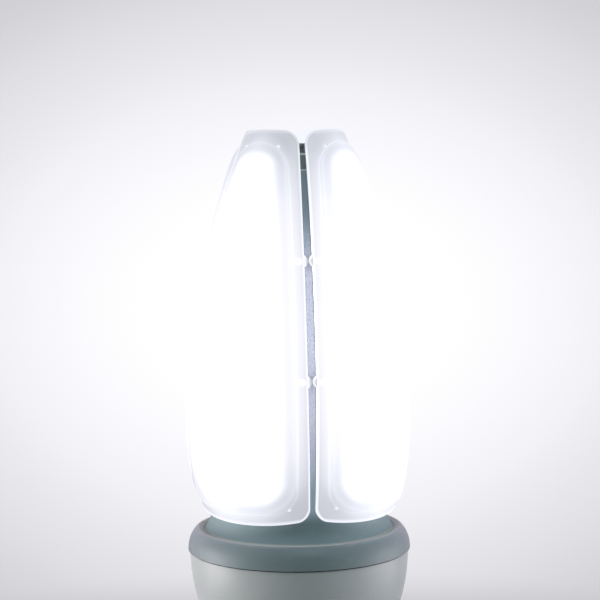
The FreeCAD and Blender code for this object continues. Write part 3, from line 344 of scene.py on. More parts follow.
class ShaderPad(NodePad):
    """A material's tree, with its Principled shader in place."""

    def __init__(self, name: str) -> None:
        """Start a material.

        Args:
            name: The material's name.
        """
        self.material = bpy.data.materials.new(name)
        self.material.use_nodes = True
        super().__init__(self.material.node_tree)
        self.shader = self.tree.nodes["Principled BSDF"]

    def set(self, **values: object) -> None:
        """Set inputs of the shader.

        Args:
            values: Wires or plain values by the inputs' names, with underscores for the spaces.
        """
        for name, value in values.items():
            self.feed(self.shader, name.replace("_", " "), value)

    def grain(
        self, grain: float, blotch: float, roughness: Span, facing: Facing = Facing.EVEN
    ) -> dict[str, Wire]:
        """Place the shared grain group.

        Args:
            grain: Fine scale, per metre.
            blotch: Broad scale, per metre.
            roughness: Lowest and highest roughness.
            facing: The way in which the marks run.

        Returns:
            The group's outputs by name.
        """
        node = self.add("ShaderNodeGroup", node_tree=surface_grain())
        values = {"Grain": grain, "Blotch": blotch, "Low": roughness[0], "High": roughness[1]}
        for name, value in values.items():
            node.inputs[name].default_value = value
        node.inputs["Stretch"].default_value = STRETCH[facing]
        return {name: Wire(self, node.outputs[name]) for name in GRAIN_OUTPUTS}

    def bump(self, height: Wire, strength: float, depth: float) -> None:
        """Roughen the surface by a height.

        Args:
            height: Height from nought to one.
            strength: Share of the effect.
            depth: Depth of the marks in metres.
        """
        node = self.add("ShaderNodeBump")
        node.inputs["Strength"].default_value = strength
        node.inputs["Distance"].default_value = depth
        self.feed(node, "Height", height)
        self.feed(self.shader, "Normal", node.outputs[0])


# Finishes.


@dataclass(frozen=True)
class Finish:
    """A finish with grain, blotches and a slightly different second tone."""

    name: str
    colour: Colour
    second: Colour
    roughness: Span = (0.35, 0.5)
    metallic: float = 0.0
    grain: float = 900.0
    blotch: float = 45.0
    relief: float = 0.00003
    facing: Facing = Facing.EVEN
    glow: float = 0.0
    bump: float = 0.35

    def build(self) -> bpy.types.Material:
        """Make the material.

        Returns:
            The material, ready for an object's slot.
        """
        pad = ShaderPad(self.name)
        marks = pad.grain(self.grain, self.blotch, self.roughness, self.facing)
        tone = pad.blend(marks["Mask"], self.colour, self.second)
        pad.set(Base_Color=tone, Roughness=marks["Roughness"], Metallic=self.metallic)
        if self.glow:
            pad.set(Emission_Color=tone, Emission_Strength=self.glow)
        pad.bump(marks["Height"], self.bump, self.relief)
        return pad.material


@dataclass(frozen=True)
class HeadCurve:
    """The head's surface: two arcs that meet at the waist. Sizes in millimetres."""

    waist_radius: float = 45.0
    waist_height: float = 155.0
    foot: float = 116.6
    top: float = 275.0
    crown_share: float = 0.44
    hem_share: float = 0.891

    def bow(self, upper: bool) -> float:
        """Radius of the arc above or below the waist.

        Args:
            upper: Whether the upper arc is meant.

        Returns:
            The radius.
        """
        rise = self.top - self.waist_height if upper else self.waist_height - self.foot
        drop = self.waist_radius * (1 - (self.crown_share if upper else self.hem_share))
        return (rise * rise + drop * drop) / (2 * drop)

    def radius(self, height: float) -> float:
        """Radius at a height.

        Args:
            height: Height above the contact.

        Returns:
            The radius.
        """
        bow = self.bow(height > self.waist_height)
        return self.waist_radius - bow + math.sqrt(bow**2 - (height - self.waist_height) ** 2)

    def depth(self, pad: NodePad, radius: Wire, height: Wire) -> Wire:
        """Depth below the surface as a value in a tree.

        Args:
            pad: The tree's pad.
            radius: Distance from the axis.
            height: Height above the contact.

        Returns:
            The depth.
        """
        rise = height - self.waist_height
        depths = []
        for upper in (False, True):
            bow = self.bow(upper)
            depths.append(bow - pad.distance(radius + (bow - self.waist_radius), rise))
        return depths[0].mixed(depths[1], rise.above(0.0))


@dataclass(frozen=True)
class FrostedCover:
    """Frosted petal with light behind it: bright lens, softer border and a white rim.

    Sizes are in millimetres. A span gives the two ends of a soft step. The stops of flange, shoulder and rim
    pair a distance from the petal's corners with a glow, and those of the walls a height with a share of the
    full strength.
    """

    name: str = "frosted_cover"
    # The petal's outline.
    curve: HeadCurve = HeadCurve()
    end_side: float = 1.15
    side_sag: float = 0.7
    side_middle: float = 195.8
    side_half: float = 73.0
    hem_sag: float = 2.8
    hem_half: float = 26.8
    crown_sag: float = 0.8
    crown_half: float = 12.5
    corner: float = 6.0
    # Border, shoulder and lens.
    glow_corner: float = 18.5
    crown_corner: float = 13.9
    crown_span: Span = (60.0, 20.0)
    side_share: float = 0.88
    strength: float = 5.5
    spread_round: float = 6.0
    spread_ends: Span = (0.0, 80.0)
    flange: Stops = (
        (3.0, 0.5), (8.0, 0.53), (13.0, 0.575), (17.0, 0.63),
        (21.0, 0.67), (29.0, 0.735), (45.0, 0.805), (72.0, 0.865),
    )
    shoulder: Stops = (
        (3.0, 0.57), (8.0, 0.61), (13.0, 0.67), (17.0, 0.725),
        (21.0, 0.765), (29.0, 0.845), (45.0, 0.905), (72.0, 0.93),
    )
    shoulder_start: float = 5.0
    shoulder_slope: float = 0.26
    # Painted highlight: a faint lighter line along the lens's shoulder.
    ridge_highlight: float = 0.03
    ridge_highlight_spans: tuple[Span, Span] = ((4.2, 5.2), (6.6, 5.4))
    lens: float = 1.35
    lens_span: Span = (7.0, 13.6)
    # Painted light: the petals on the right glow a little brighter than those on the left.
    painted_right_glow: float = 0.06
    right_span: Span = (-1.0, 1.0)
    rim: Stops = ((3.0, 0.86), (17.0, 0.88), (29.0, 0.9), (45.0, 0.93), (72.0, 0.95))
    rim_span: Span = (1.15, 0.35)
    end_rim_span: Span = (2.0, 0.7)
    end_rim_share: float = 0.8
    crown_rim: float = 0.66
    crown_rim_span: Span = (9.0, 4.0)
    groove: float = 0.035
    groove_spans: tuple[Span, Span] = ((0.6, 1.1), (1.7, 1.2))
    # Rivets, studs and ears.
    rivet_side: float = 3.55
    halo: float = 0.97
    halo_share: float = 0.8
    halo_stretch: float = 0.55
    halo_span: Span = (2.3, 0.6)
    halo_limit: Span = (1.0, 0.96)
    stud_side: float = 8.35
    stud_foot: float = 7.6
    stud_crown: float = 6.8
    stud: float = 0.85
    stud_span: Span = (1.15, 0.5)
    # The ears glow differently on left-hand and right-hand petals, painted light and shade as seen from one
    # side, with a painted highlight crescent on the right-hand ears.
    ear_centre: float = 1.15
    ear_span: Span = (-0.06, -0.1)
    left_ear: float = 0.9
    left_ear_fall: float = 0.4
    left_ear_span: Span = (-0.25, -1.2)
    right_ear: float = 0.6
    right_ear_highlight: float = 0.3
    right_ear_highlight_span: Span = (1.9, 2.15)
    # Back and side walls.
    back: float = 0.9
    back_span: Span = (2.0, 2.35)
    flank_depth: Span = (0.75, 1.0)
    flank_spans: tuple[Span, Span] = ((-0.08, -0.03), (0.12, 0.05))
    wall_ends: Span = (110.0, 280.0)
    walls: Stops = (
        (117.0, 0.08), (126.0, 0.1), (132.0, 0.13), (141.0, 0.3), (158.0, 0.55), (190.0, 0.75), (208.0, 0.7),
        (219.0, 0.64), (223.0, 0.57), (232.0, 0.4), (242.0, 0.18), (262.0, 0.04), (275.0, 0.03),
    )
    # Colours and skin.
    cool: Colour = (0.975, 0.97, 1.05)
    grey: Colour = (0.955, 0.975, 1.07)
    tint_span: Span = (8.0, 40.0)
    body: Colour = (0.2, 0.2, 0.212)
    body_second: float = 0.96
    roughness: Span = (0.3, 0.4)
    grain: float = 2600.0
    blotch: float = 90.0
    ior: float = 1.49
    bump: float = 0.25
    relief: float = 0.00002

    def ends(self, z: Wire, side: Wire) -> tuple[Wire, Wire]:
        """Distances from the petal's bowed ends.

        Args:
            z: Height above the contact.
            side: Distance from the petal's side.

        Returns:
            Distances from the lower and the upper end.
        """
        hem = (1.0 - side * (1 / self.hem_half)).most(0.0)
        crown = (1.0 - side * (1 / self.crown_half)).most(0.0)
        lower = z - self.curve.foot - hem * hem * self.hem_sag
        upper = self.curve.top - z - crown * crown * self.crown_sag
        return lower, upper

    def border(self, pad: NodePad, side: Wire, ends: tuple[Wire, Wire]) -> Wire:
        """Glow of the border, the lens's shoulder with a painted highlight line, and the lit lens, as a share
        of the full strength.

        Args:
            pad: The tree's pad.
            side: Distance from the petal's side.
            ends: Distances from the petal's lower and upper end.

        Returns:
            The glow.
        """
        full = self.strength
        end = ends[0].least(ends[1])
        spread = pad.math("SMOOTH_MAX", side, end, self.spread_round)

        def inset(radius: Wire | float, across: Wire) -> Wire:
            """Distance from an outline with rounded corners."""
            return radius - pad.distance((radius - across).most(0.0), (radius - end).most(0.0))

        def level(stops: Stops) -> Wire:
            """Glow that grows with the distance from the petal's corners."""
            return pad.ramp(spread, self.spread_ends, tuple((at, glow / full) for at, glow in stops))

        edge = inset(self.corner, side)
        crown = ends[1].step(*self.crown_span)
        rounding = self.glow_corner - crown * (self.glow_corner - self.crown_corner)
        depth = inset(rounding, side * self.side_share)
        rim = level(self.rim).mixed(self.crown_rim / full, ends[1].step(*self.crown_rim_span))
        # The line along the shoulder is a painted highlight.
        glow = level(self.shoulder) + depth.between(*self.ridge_highlight_spans) * (self.ridge_highlight / full)
        glow = glow.mixed(self.lens / full, depth.step(*self.lens_span))
        outside = ((self.shoulder_start - depth) * self.shoulder_slope).most(0.0).least(1.0)
        glow = glow.mixed(level(self.flange), outside)
        glow = glow - edge.between(*self.groove_spans) * (self.groove / full)
        end_rim = end.step(*self.end_rim_span) * self.end_rim_share
        return glow.mixed(rim, edge.step(*self.rim_span).most(end_rim))

    def fittings(self, pad: NodePad, glow: Wire, side: Wire, z: Wire, right: Wire) -> Wire:
        """Glow with the rivets' halos, the studs' spots and the ears' faces added, the ears painted lit and
        shaded by the petal's side and with a painted highlight crescent.

        Args:
            pad: The tree's pad.
            glow: The glow of the border and the lens.
            side: Distance from the petal's side.
            z: Height above the contact.
            right: One on the petals to the right, and nought on the others.

        Returns:
            The glow.
        """
        full = self.strength
        lower, upper = ((z - height).size() for height in EAR_HEIGHTS)
        rise = lower.least(upper)
        halo = pad.distance((side - self.rivet_side) * self.halo_stretch, rise).step(*self.halo_span)
        dimmer = (glow * full).step(*self.halo_limit)
        glow = glow.mixed(self.halo / full, halo * dimmer * self.halo_share)
        low = z - (self.curve.foot + self.stud_foot)
        high = z - (self.curve.top - self.stud_crown)
        stud = pad.distance(side - self.stud_side, low.size().least(high.size()))
        glow = glow.most(stud.step(*self.stud_span) * (self.stud / full))
        # The ears' faces are painted lit and shaded by side, with a painted highlight crescent on the
        # right-hand ones.
        ring = pad.distance(side - self.ear_centre, rise).step(*self.right_ear_highlight_span)
        left_face = self.left_ear - side.step(*self.left_ear_span) * self.left_ear_fall
        right_face = ring * self.right_ear_highlight + self.right_ear
        face = left_face.mixed(right_face, right) * (1 / full)
        return glow.mixed(face, side.step(*self.ear_span))

    def build(self) -> bpy.types.Material:
        """Make the material, whose glow follows the petal's outline and height.

        Returns:
            The material.
        """
        pad = ShaderPad(self.name)
        x, y, z = pad.object_axes()
        rise = (z - self.side_middle) * (1 / self.side_half)
        side = x.size().least(y.size()) - (self.end_side + self.side_sag) + rise * rise * self.side_sag
        ends = self.ends(z, side)
        right = x.step(*self.right_span)
        # The right-hand petals get painted light on their border.
        border = self.border(pad, side, ends) + right * (self.painted_right_glow / self.strength)
        glow = self.fittings(pad, border, side, z, right)
        below = self.curve.depth(pad, pad.distance(x, y), z)
        glow = glow.mixed(self.back / self.strength, below.step(*self.back_span))
        flank = below.step(*self.flank_depth) * side.between(*self.flank_spans)
        glow = glow.mixed(pad.ramp(z, self.wall_ends, self.walls), flank)
        tint = pad.blend(ends[0].least(ends[1]).step(*self.tint_span), self.grey, self.cool)
        coloured = pad.blend(1.0, pad.blend(glow, BLACK, WHITE), tint, "MULTIPLY")
        marks = pad.grain(self.grain, self.blotch, self.roughness)
        body = pad.blend(marks["Mask"], self.body, tuple(self.body_second * tone for tone in self.body))
        pad.set(Base_Color=body, Roughness=marks["Roughness"], IOR=self.ior)
        pad.set(Emission_Color=coloured, Emission_Strength=self.strength)
        pad.bump(marks["Height"], self.bump, self.relief)
        return pad.material


@dataclass(frozen=True)
class CastPaint:
    """Satin paint over a casting, with a fine skin, a soft sheen, dust on what faces up and painted
    highlights along edge rings.

    An edge is a ring's radius, height and width, along which a painted highlight lightens the paint. A band
    is the two heights between which the paint changes to a tone. Sizes are in millimetres, and scales of
    marks are per metre.
    """

    name: str = "satin_grey_paint"
    colour: Colour = (0.25, 0.335, 0.352)
    worn: Colour = (0.29, 0.38, 0.39)
    worn_share: float = 0.6
    dust: Colour = (0.5, 0.53, 0.53)
    dust_share: float = 0.16
    dust_span: Span = (0.55, 1.0)
    scuff_share: float = 0.2
    scuff_spans: tuple[Span, Span] = ((0.7, 0.95), (0.4, 0.9))
    # Painted highlight: the pale tone along the edge rings, which on the collar paint the bright lip line on
    # the crest and light up its shaded inner slope.
    bare: Colour = (0.66, 0.67, 0.61)
    edge_highlight_share: float = 0.85
    edge_highlight_core: float = 0.35
    edges: tuple[tuple[float, float, float], ...] = ((40.6, 109.3, 1.1), (41.6, 109.35, 1.1))
    bands: tuple[tuple[float, float, Colour], ...] = ()
    roughness: Span = (0.4, 0.5)
    sheen: float = 0.8
    sheen_roughness: float = 0.5
    sheen_tint: Colour = (1.0, 0.86, 1.0)
    skin_scales: Span = (1500.0, 60.0)
    speck_scales: Span = (5200.0, 420.0)
    bump: float = 0.25
    relief: float = 0.000012

    def build(self) -> bpy.types.Material:
        """Make the material.

        Returns:
            The material.
        """
        pad = ShaderPad(self.name)
        skin = pad.grain(*self.skin_scales, self.roughness)
        specks = pad.grain(*self.speck_scales, self.roughness)
        tone = pad.blend(skin["Mask"] * self.worn_share, self.colour, self.worn)
        faces = pad.add("ShaderNodeNewGeometry")
        apart = pad.add("ShaderNodeSeparateXYZ")
        pad.feed(apart, 0, faces.outputs["Normal"])
        upwards = Wire(pad, apart.outputs["Z"]).step(*self.dust_span)
        tone = pad.blend(upwards * specks["Mask"] * self.dust_share, tone, self.dust)
        speck_span, skin_span = self.scuff_spans
        scuffs = specks["Mask"].step(*speck_span) * skin["Mask"].step(*skin_span)
        tone = pad.blend(scuffs * self.scuff_share, tone, self.dust)
        x, y, z = pad.object_axes()
        for low, high, band in self.bands:
            tone = pad.blend(z.step(low, high), tone, band)
        # Painted highlights and painted light along each edge ring.
        radius = pad.distance(x, y)
        for across, height, width in self.edges:
            away = pad.distance(radius - across, z - height)
            tone = pad.blend(away.step(width, width * self.edge_highlight_core) * self.edge_highlight_share, tone, self.bare)
        pad.set(Base_Color=tone, Roughness=skin["Roughness"], Sheen_Weight=self.sheen)
        pad.set(Sheen_Roughness=self.sheen_roughness, Sheen_Tint=(*self.sheen_tint, 1))
        pad.bump(skin["Height"], self.bump, self.relief)
        return pad.material


AnyFinish = Finish | FrostedCover | CastPaint


class FinishBook:
    """Every finish of the lamp by its slot or by its node, made when first asked for."""

    def __init__(self) -> None:
        """List the finishes."""
        self.finishes: dict[str, AnyFinish] = {**self.head(), **self.casing(), **self.driver()}
        self.made: dict[str, bpy.types.Material] = {}

    @staticmethod
    def head() -> dict[str, AnyFinish]:
        """Finishes of the lamp head and the collar.

        Returns:
            The finishes by slot, and by node for the core and the plate on top.
        """
        core = CastPaint(
            "core_paint",
            colour=(0.26, 0.37, 0.39),
            worn=(0.285, 0.395, 0.41),
            # Edge rings: a painted highlight on the joint under the top plate, and painted light in the
            # shaded groove at the collar.
            edges=((22.95, 258.8, 0.4), (39.8, 108.9, 1.2)),
            # Bands: painted light and shade along the core seen in the gaps, lighter at the foot, lavender
            # through the middle and darker at the top.
            bands=(
                (117.0, 123.0, (0.4, 0.52, 0.57)),
                (124.0, 150.0, (0.37, 0.39, 0.45)),
                (214.0, 246.0, (0.21, 0.285, 0.33)),
            ),
            roughness=(0.58, 0.7),
            sheen=0.3,
        )
        # Painted shade: the top plate is painted dark all over, for the shade deep between the petals, with a
        # painted highlight on its upper edge.
        cap = CastPaint(
            "painted_shade_cap",
            edges=((20.4, 265.2, 0.9),),
            bands=((218.0, 246.0, (0.1, 0.13, 0.135)),),
            sheen=0.0,
        )
        return {
            "lit_diffuser": FrostedCover(),
            "grey_casting": CastPaint(),
            "heat_sink": core,
            "top_cap": cap,
            "clear_rivet": Finish("clear_rivet", (0.86, 0.86, 0.9), (0.8, 0.8, 0.85), (0.1, 0.2), glow=1.15),
            "white_board": Finish("white_lacquer", (0.8, 0.8, 0.8), (0.74, 0.74, 0.74), (0.3, 0.45)),
            "led_phosphor": Finish("led_phosphor", (0.9, 0.7, 0.2), (0.86, 0.64, 0.16), glow=1.0),
        }

    @staticmethod
    def casing() -> dict[str, Finish]:
        """Finishes of the screw cap and the driver casing.

        Returns:
            The finishes by slot.
        """
        return {
            "nickel": Finish(
                "nickel_plate", (0.74, 0.72, 0.68), (0.66, 0.64, 0.6), (0.16, 0.34), metallic=1.0,
                grain=1400.0, blotch=160.0, relief=0.00001, facing=Facing.TURNED,
            ),
            "contact_brass": Finish(
                "contact_tin", (0.7, 0.66, 0.56), (0.58, 0.55, 0.48), (0.28, 0.5), metallic=1.0,
                grain=700.0, blotch=220.0,
            ),
            "dark_insulator": Finish(
                "dark_insulator", (0.018, 0.018, 0.02), (0.03, 0.03, 0.034), (0.12, 0.25)
            ),
            "pale_plastic": Finish(
                "pale_plastic", (0.68, 0.715, 0.705), (0.655, 0.69, 0.685), (0.3, 0.4),
                grain=1900.0, blotch=35.0, relief=0.00002,
            ),
            "seal_rubber": Finish("seal_rubber", (0.02, 0.021, 0.022), (0.035, 0.036, 0.037), (0.6, 0.8)),
            "lid_aluminium": Finish(
                "rolled_sheet", (0.6, 0.61, 0.62), (0.52, 0.53, 0.54), (0.3, 0.45), metallic=1.0
            ),
            "screw_steel": Finish(
                "dark_zinc_screw", (0.14, 0.15, 0.16), (0.08, 0.085, 0.09), (0.25, 0.4), metallic=0.9,
                grain=1600.0, blotch=500.0,
            ),
        }

    @staticmethod
    def driver() -> dict[str, Finish]:
        """Finishes of the driver board, its parts and the wires.

        Returns:
            The finishes by slot.
        """
        return {
            "lead_sleeve": Finish("red_sleeve", (0.5, 0.03, 0.025), (0.42, 0.025, 0.02)),
            "green_board": Finish(
                "green_laminate", (0.012, 0.1, 0.03), (0.018, 0.13, 0.045), (0.25, 0.4),
                grain=1500.0, blotch=260.0, facing=Facing.LAMINATED,
            ),
            "ferrite": Finish("ferrite", (0.03, 0.03, 0.032), (0.05, 0.05, 0.052), (0.5, 0.75)),
            "bobbin_plastic": Finish(
                "bobbin_plastic", (0.015, 0.015, 0.016), (0.024, 0.024, 0.025), (0.4, 0.55)
            ),
            "winding_copper": Finish(
                "enamelled_wire", (0.5, 0.16, 0.04), (0.36, 0.1, 0.025), (0.2, 0.35), metallic=0.9,
                grain=2600.0, blotch=300.0, relief=0.0001, facing=Facing.LAMINATED,
            ),
            "can_sleeve": Finish("can_sleeve", (0.012, 0.018, 0.06), (0.02, 0.026, 0.075), (0.2, 0.35)),
            "film_case": Finish("film_case", (0.5, 0.33, 0.03), (0.44, 0.28, 0.025), (0.25, 0.4)),
            "black_package": Finish("black_package", (0.012, 0.012, 0.012), (0.02, 0.02, 0.02), (0.45, 0.65)),
            "fuse_sleeve": Finish("ceramic_sleeve", (0.5, 0.49, 0.44), (0.44, 0.43, 0.38), (0.5, 0.7)),
            "varistor_coat": Finish("blue_dip", (0.02, 0.06, 0.28), (0.026, 0.075, 0.33), (0.2, 0.35)),
            "line_sleeve": Finish("brown_sleeve", (0.1, 0.035, 0.012), (0.08, 0.028, 0.01)),
            "neutral_sleeve": Finish("blue_sleeve", (0.015, 0.05, 0.3), (0.012, 0.04, 0.25)),
        }

    def material(self, slot: str) -> bpy.types.Material:
        """The material of a slot.

        Args:
            slot: The record's slot name.

        Returns:
            The material.
        """
        if slot not in self.made:
            self.made[slot] = self.finishes[slot].build()
        return self.made[slot]


# Sub-assemblies.


def turned_mesh(name: str, outline: list[Span], steps: int) -> bpy.types.Mesh:
    """A closed mesh turned about Z.

    Args:
        name: The mesh's name.
        outline: Radius and height of each corner, from the lower end of the axis to the upper one.
        steps: Faces round the axis.

    Returns:
        The mesh, with its normals outwards.
    """
    sheet = bmesh.new()
    corners = [sheet.verts.new((radius, 0, height)) for radius, height in outline]
    edges = [sheet.edges.new(pair) for pair in zip(corners, corners[1:])]
    bmesh.ops.spin(sheet, geom=corners + edges, axis=(0, 0, 1), cent=(0, 0, 0), steps=steps, angle=math.tau)
    bmesh.ops.remove_doubles(sheet, verts=sheet.verts, dist=SAME_PLACE)
    bmesh.ops.recalc_face_normals(sheet, faces=sheet.faces)
    mesh = bpy.data.meshes.new(name)
    sheet.to_mesh(mesh)
    sheet.free()
    return mesh


class GeometryPad(NodePad):
    """A Geometry Nodes tree that sets copies of one shape on given seats."""

    def __init__(self, name: str) -> None:
        """Start a tree with its geometry sockets.

        Args:
            name: The tree's name.
        """
        super().__init__(bpy.data.node_groups.new(name, "GeometryNodeTree"))
        face = self.tree.interface
        face.new_socket("Geometry", in_out="INPUT", socket_type="NodeSocketGeometry")
        face.new_socket("Geometry", in_out="OUTPUT", socket_type="NodeSocketGeometry")
        self.ids: dict[str, str] = {}

    def named_input(self, label: str, kind: str) -> None:
        """Add a named input.

        Args:
            label: The input's name.
            kind: The socket's type.
        """
        socket = self.tree.interface.new_socket(label, in_out="INPUT", socket_type=kind)
        self.ids[label] = socket.identifier


class SeatedCopies:
    """Equal pieces on seats, each turned to its seat's direction, by one Geometry Nodes tree."""

    _pad: GeometryPad | None = None

    @classmethod
    def pad(cls) -> GeometryPad:
        """The tree, built when first asked for.

        Returns:
            The tree's pad, with inputs Shape and Finish.
        """
        if cls._pad is not None:
            return cls._pad
        pad = GeometryPad("copies_on_seats")
        pad.named_input("Shape", "NodeSocketObject")
        pad.named_input("Finish", "NodeSocketMaterial")
        inner = pad.add("NodeGroupInput")
        outer = pad.add("NodeGroupOutput")
        shape = pad.add("GeometryNodeObjectInfo")
        pad.feed(shape, "Object", inner.outputs["Shape"])
        heading = pad.add("GeometryNodeInputNamedAttribute", data_type="FLOAT_VECTOR")
        heading.inputs["Name"].default_value = "heading"
        align = pad.add("FunctionNodeAlignRotationToVector", axis="Z")
        pad.feed(align, "Vector", heading.outputs["Attribute"])
        copies = pad.add("GeometryNodeInstanceOnPoints")
        pad.feed(copies, "Points", inner.outputs["Geometry"])
        pad.feed(copies, "Instance", shape.outputs["Geometry"])
        pad.feed(copies, "Rotation", align.outputs["Rotation"])
        whole = pad.add("GeometryNodeRealizeInstances")
        pad.feed(whole, "Geometry", copies.outputs["Instances"])
        dressed = pad.add("GeometryNodeSetMaterial")
        pad.feed(dressed, "Geometry", whole.outputs["Geometry"])
        pad.feed(dressed, "Material", inner.outputs["Finish"])
        pad.feed(outer, "Geometry", dressed.outputs["Geometry"])
        cls._pad = pad
        return pad

    @classmethod
    def piece(
        cls, name: str, shape: bpy.types.Mesh, seats: list[tuple[Vector, Vector]], finish: bpy.types.Material
    ) -> bpy.types.Object:
        """Set copies of a shape on seats and keep them as one plain mesh.

        Args:
            name: The piece's name.
            shape: The mesh to copy, seated at its origin with its head along Z.
            seats: Place and direction of each copy, in metres.
            finish: The copies' material.

        Returns:
            The piece.
        """
        pad = cls.pad()
        mesh = bpy.data.meshes.new(name + "_seats")
        mesh.from_pydata([place for place, _ in seats], [], [])
        layer = mesh.attributes.new("heading", "FLOAT_VECTOR", "POINT")
        for entry, (_, heading) in zip(layer.data, seats):
            entry.vector = heading
        pattern = bpy.data.objects.new(name + "_pattern", shape)
        holder = bpy.data.objects.new(name + "_holder", mesh)
        for thing in (pattern, holder):
            bpy.context.scene.collection.objects.link(thing)
        modifier = holder.modifiers.new("copies", "NODES")
        modifier.node_group = pad.tree
        modifier[pad.ids["Shape"]] = pattern
        modifier[pad.ids["Finish"]] = finish
        graph = bpy.context.evaluated_depsgraph_get()
        whole = bpy.data.meshes.new_from_object(holder.evaluated_get(graph))
        holder.modifiers.remove(modifier)
        for thing in (pattern, holder):
            bpy.data.objects.remove(thing)
        whole.name = name
        whole.shade_smooth()
        whole.set_sharp_from_angle(angle=SHARP_ANGLE)
        piece = bpy.data.objects.new(name, whole)
        bpy.context.scene.collection.objects.link(piece)
        return piece


@dataclass
class SubAssembly:
    """Some of the lamp's pieces, which get their finishes and their own extra shapes together."""

    book: FinishBook
    title: str = "pieces"
    slots: tuple[str, ...] = ()

    def dress(self) -> None:
        """Give each of the sub-assembly's CAD nodes its finish."""
        for entry in frame["record"]["subparts"]:
            if entry["material_slot"] in self.slots:
                node = frame["nodes"][entry["node"]]
                node.data.materials.clear()
                own = entry["node"] if entry["node"] in self.book.finishes else entry["material_slot"]
                node.data.materials.append(self.book.material(own))
                LOG.info("%s: dressed %s", self.title, entry["node"])

    def keep(self, piece: bpy.types.Object, slot: str, *replaced: str) -> None:
        """Let a piece ride on the lamp and stand for CAD nodes.

        Args:
            piece: The finished piece.
            slot: Not used.
            replaced: The nodes that it stands for.
        """
        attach(piece, BODY)
        if replaced:
            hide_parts(*replaced)
        LOG.info("%s: made %s", self.title, piece.name)

    def build(self) -> None:
        """Dress the nodes, and make extra shapes in those that have them."""
        self.dress()


@dataclass
class ScrewCap(SubAssembly):
    """E40 cap: plated shell, dark insulator and contact."""

    title: str = "screw cap"
    slots: tuple[str, ...] = ("nickel", "contact_brass", "dark_insulator")


@dataclass
class DriverCasing(SubAssembly):
    """Housing, seals, lid and screws."""

    title: str = "driver casing"
    slots: tuple[str, ...] = ("pale_plastic", "seal_rubber", "lid_aluminium", "screw_steel")


@dataclass
class Driver(SubAssembly):
    """The driver board, its parts and the wires."""

    title: str = "driver"
    slots: tuple[str, ...] = (
        "green_board", "ferrite", "bobbin_plastic", "winding_copper", "can_sleeve", "film_case",
        "black_package", "fuse_sleeve", "varistor_coat", "line_sleeve", "neutral_sleeve", "lead_sleeve",
    )


@dataclass
class LampHead(SubAssembly):
    """Casting, collar, boards, petals and rivets.

    Sizes are in millimetres. The rivet's bulge gives the distance in from its radius at each height, and its
    crown the distance from its axis.
    """

    title: str = "lamp head"
    slots: tuple[str, ...] = ("grey_casting", "lit_diffuser", "clear_rivet", "white_board", "led_phosphor")
    curve: HeadCurve = HeadCurve()
    rivet_side: float = 4.1
    rivet_radius: float = 1.1
    rivet_sink: float = 0.6
    rivet_foot: float = 0.05
    rivet_bulge: Stops = ((0.02, 0.0), (0.04, 0.12), (0.14, 0.26), (0.32, 0.4), (0.55, 0.5))
    rivet_crown: Stops = ((0.3, 0.55), (0.0, 0.57))
    rivet_steps: int = 32

    def rivet_shape(self) -> bpy.types.Mesh:
        """A clear rivet's head: a low dome on a foot that is sunk into the petal.

        Returns:
            The mesh.
        """
        radius = self.rivet_radius
        outline = [(0.0, -self.rivet_sink), (radius - self.rivet_foot, -self.rivet_sink)]
        outline += [(radius - inwards, up) for inwards, up in self.rivet_bulge]
        outline += self.rivet_crown
        return turned_mesh("rivet_head", [(across * MM, up * MM) for across, up in outline], self.rivet_steps)

    def rivet_seats(self, petal: int) -> list[tuple[Vector, Vector]]:
        """The seats of one petal's rivets.

        Args:
            petal: The petal's number, from nought.

        Returns:
            Place and direction of each rivet.
        """
        turn = Matrix.Rotation(math.tau / PETALS * petal, 3, "Z")
        seats = []
        for height in EAR_HEIGHTS:
            out = math.sqrt(self.curve.radius(height) ** 2 - self.rivet_side**2)
            for place, heading in (
                (Vector((self.rivet_side, -out, height)), Vector((0, -1, 0))),
                (Vector((out, -self.rivet_side, height)), Vector((1, 0, 0))),
            ):
                seats.append((turn @ place * MM, turn @ heading))
        return seats

    def build(self) -> None:
        """Dress the nodes and make the rivets."""
        self.dress()
        shape = self.rivet_shape()
        for petal in range(PETALS):
            number = petal + 1
            piece = SeatedCopies.piece(
                f"petal_rivets_{number}", shape, self.rivet_seats(petal), self.book.material("clear_rivet")
            )
            self.keep(piece, "clear_rivet", f"cover_rivets_{number}")


# Studio.


@dataclass(frozen=True)
class SoftLight:
    """A soft square light that looks at the lamp's middle. Sizes in metres, power in watts."""

    name: str
    place: Point
    power: float
    side: float
    colour: Colour
    aim: Point = (0.0, 0.0, 0.12)

    def build(self) -> None:
        """Set up the light."""
        data = bpy.data.lights.new(self.name, "AREA")
        data.energy = self.power
        data.size = self.side
        data.color = self.colour
        light = bpy.data.objects.new(self.name, data)
        bpy.context.scene.collection.objects.link(light)
        place = Vector(self.place)
        turned = (Vector(self.aim) - place).to_track_quat("-Z", "Y").to_matrix().to_4x4()
        light.matrix_world = Matrix.Translation(place) @ turned


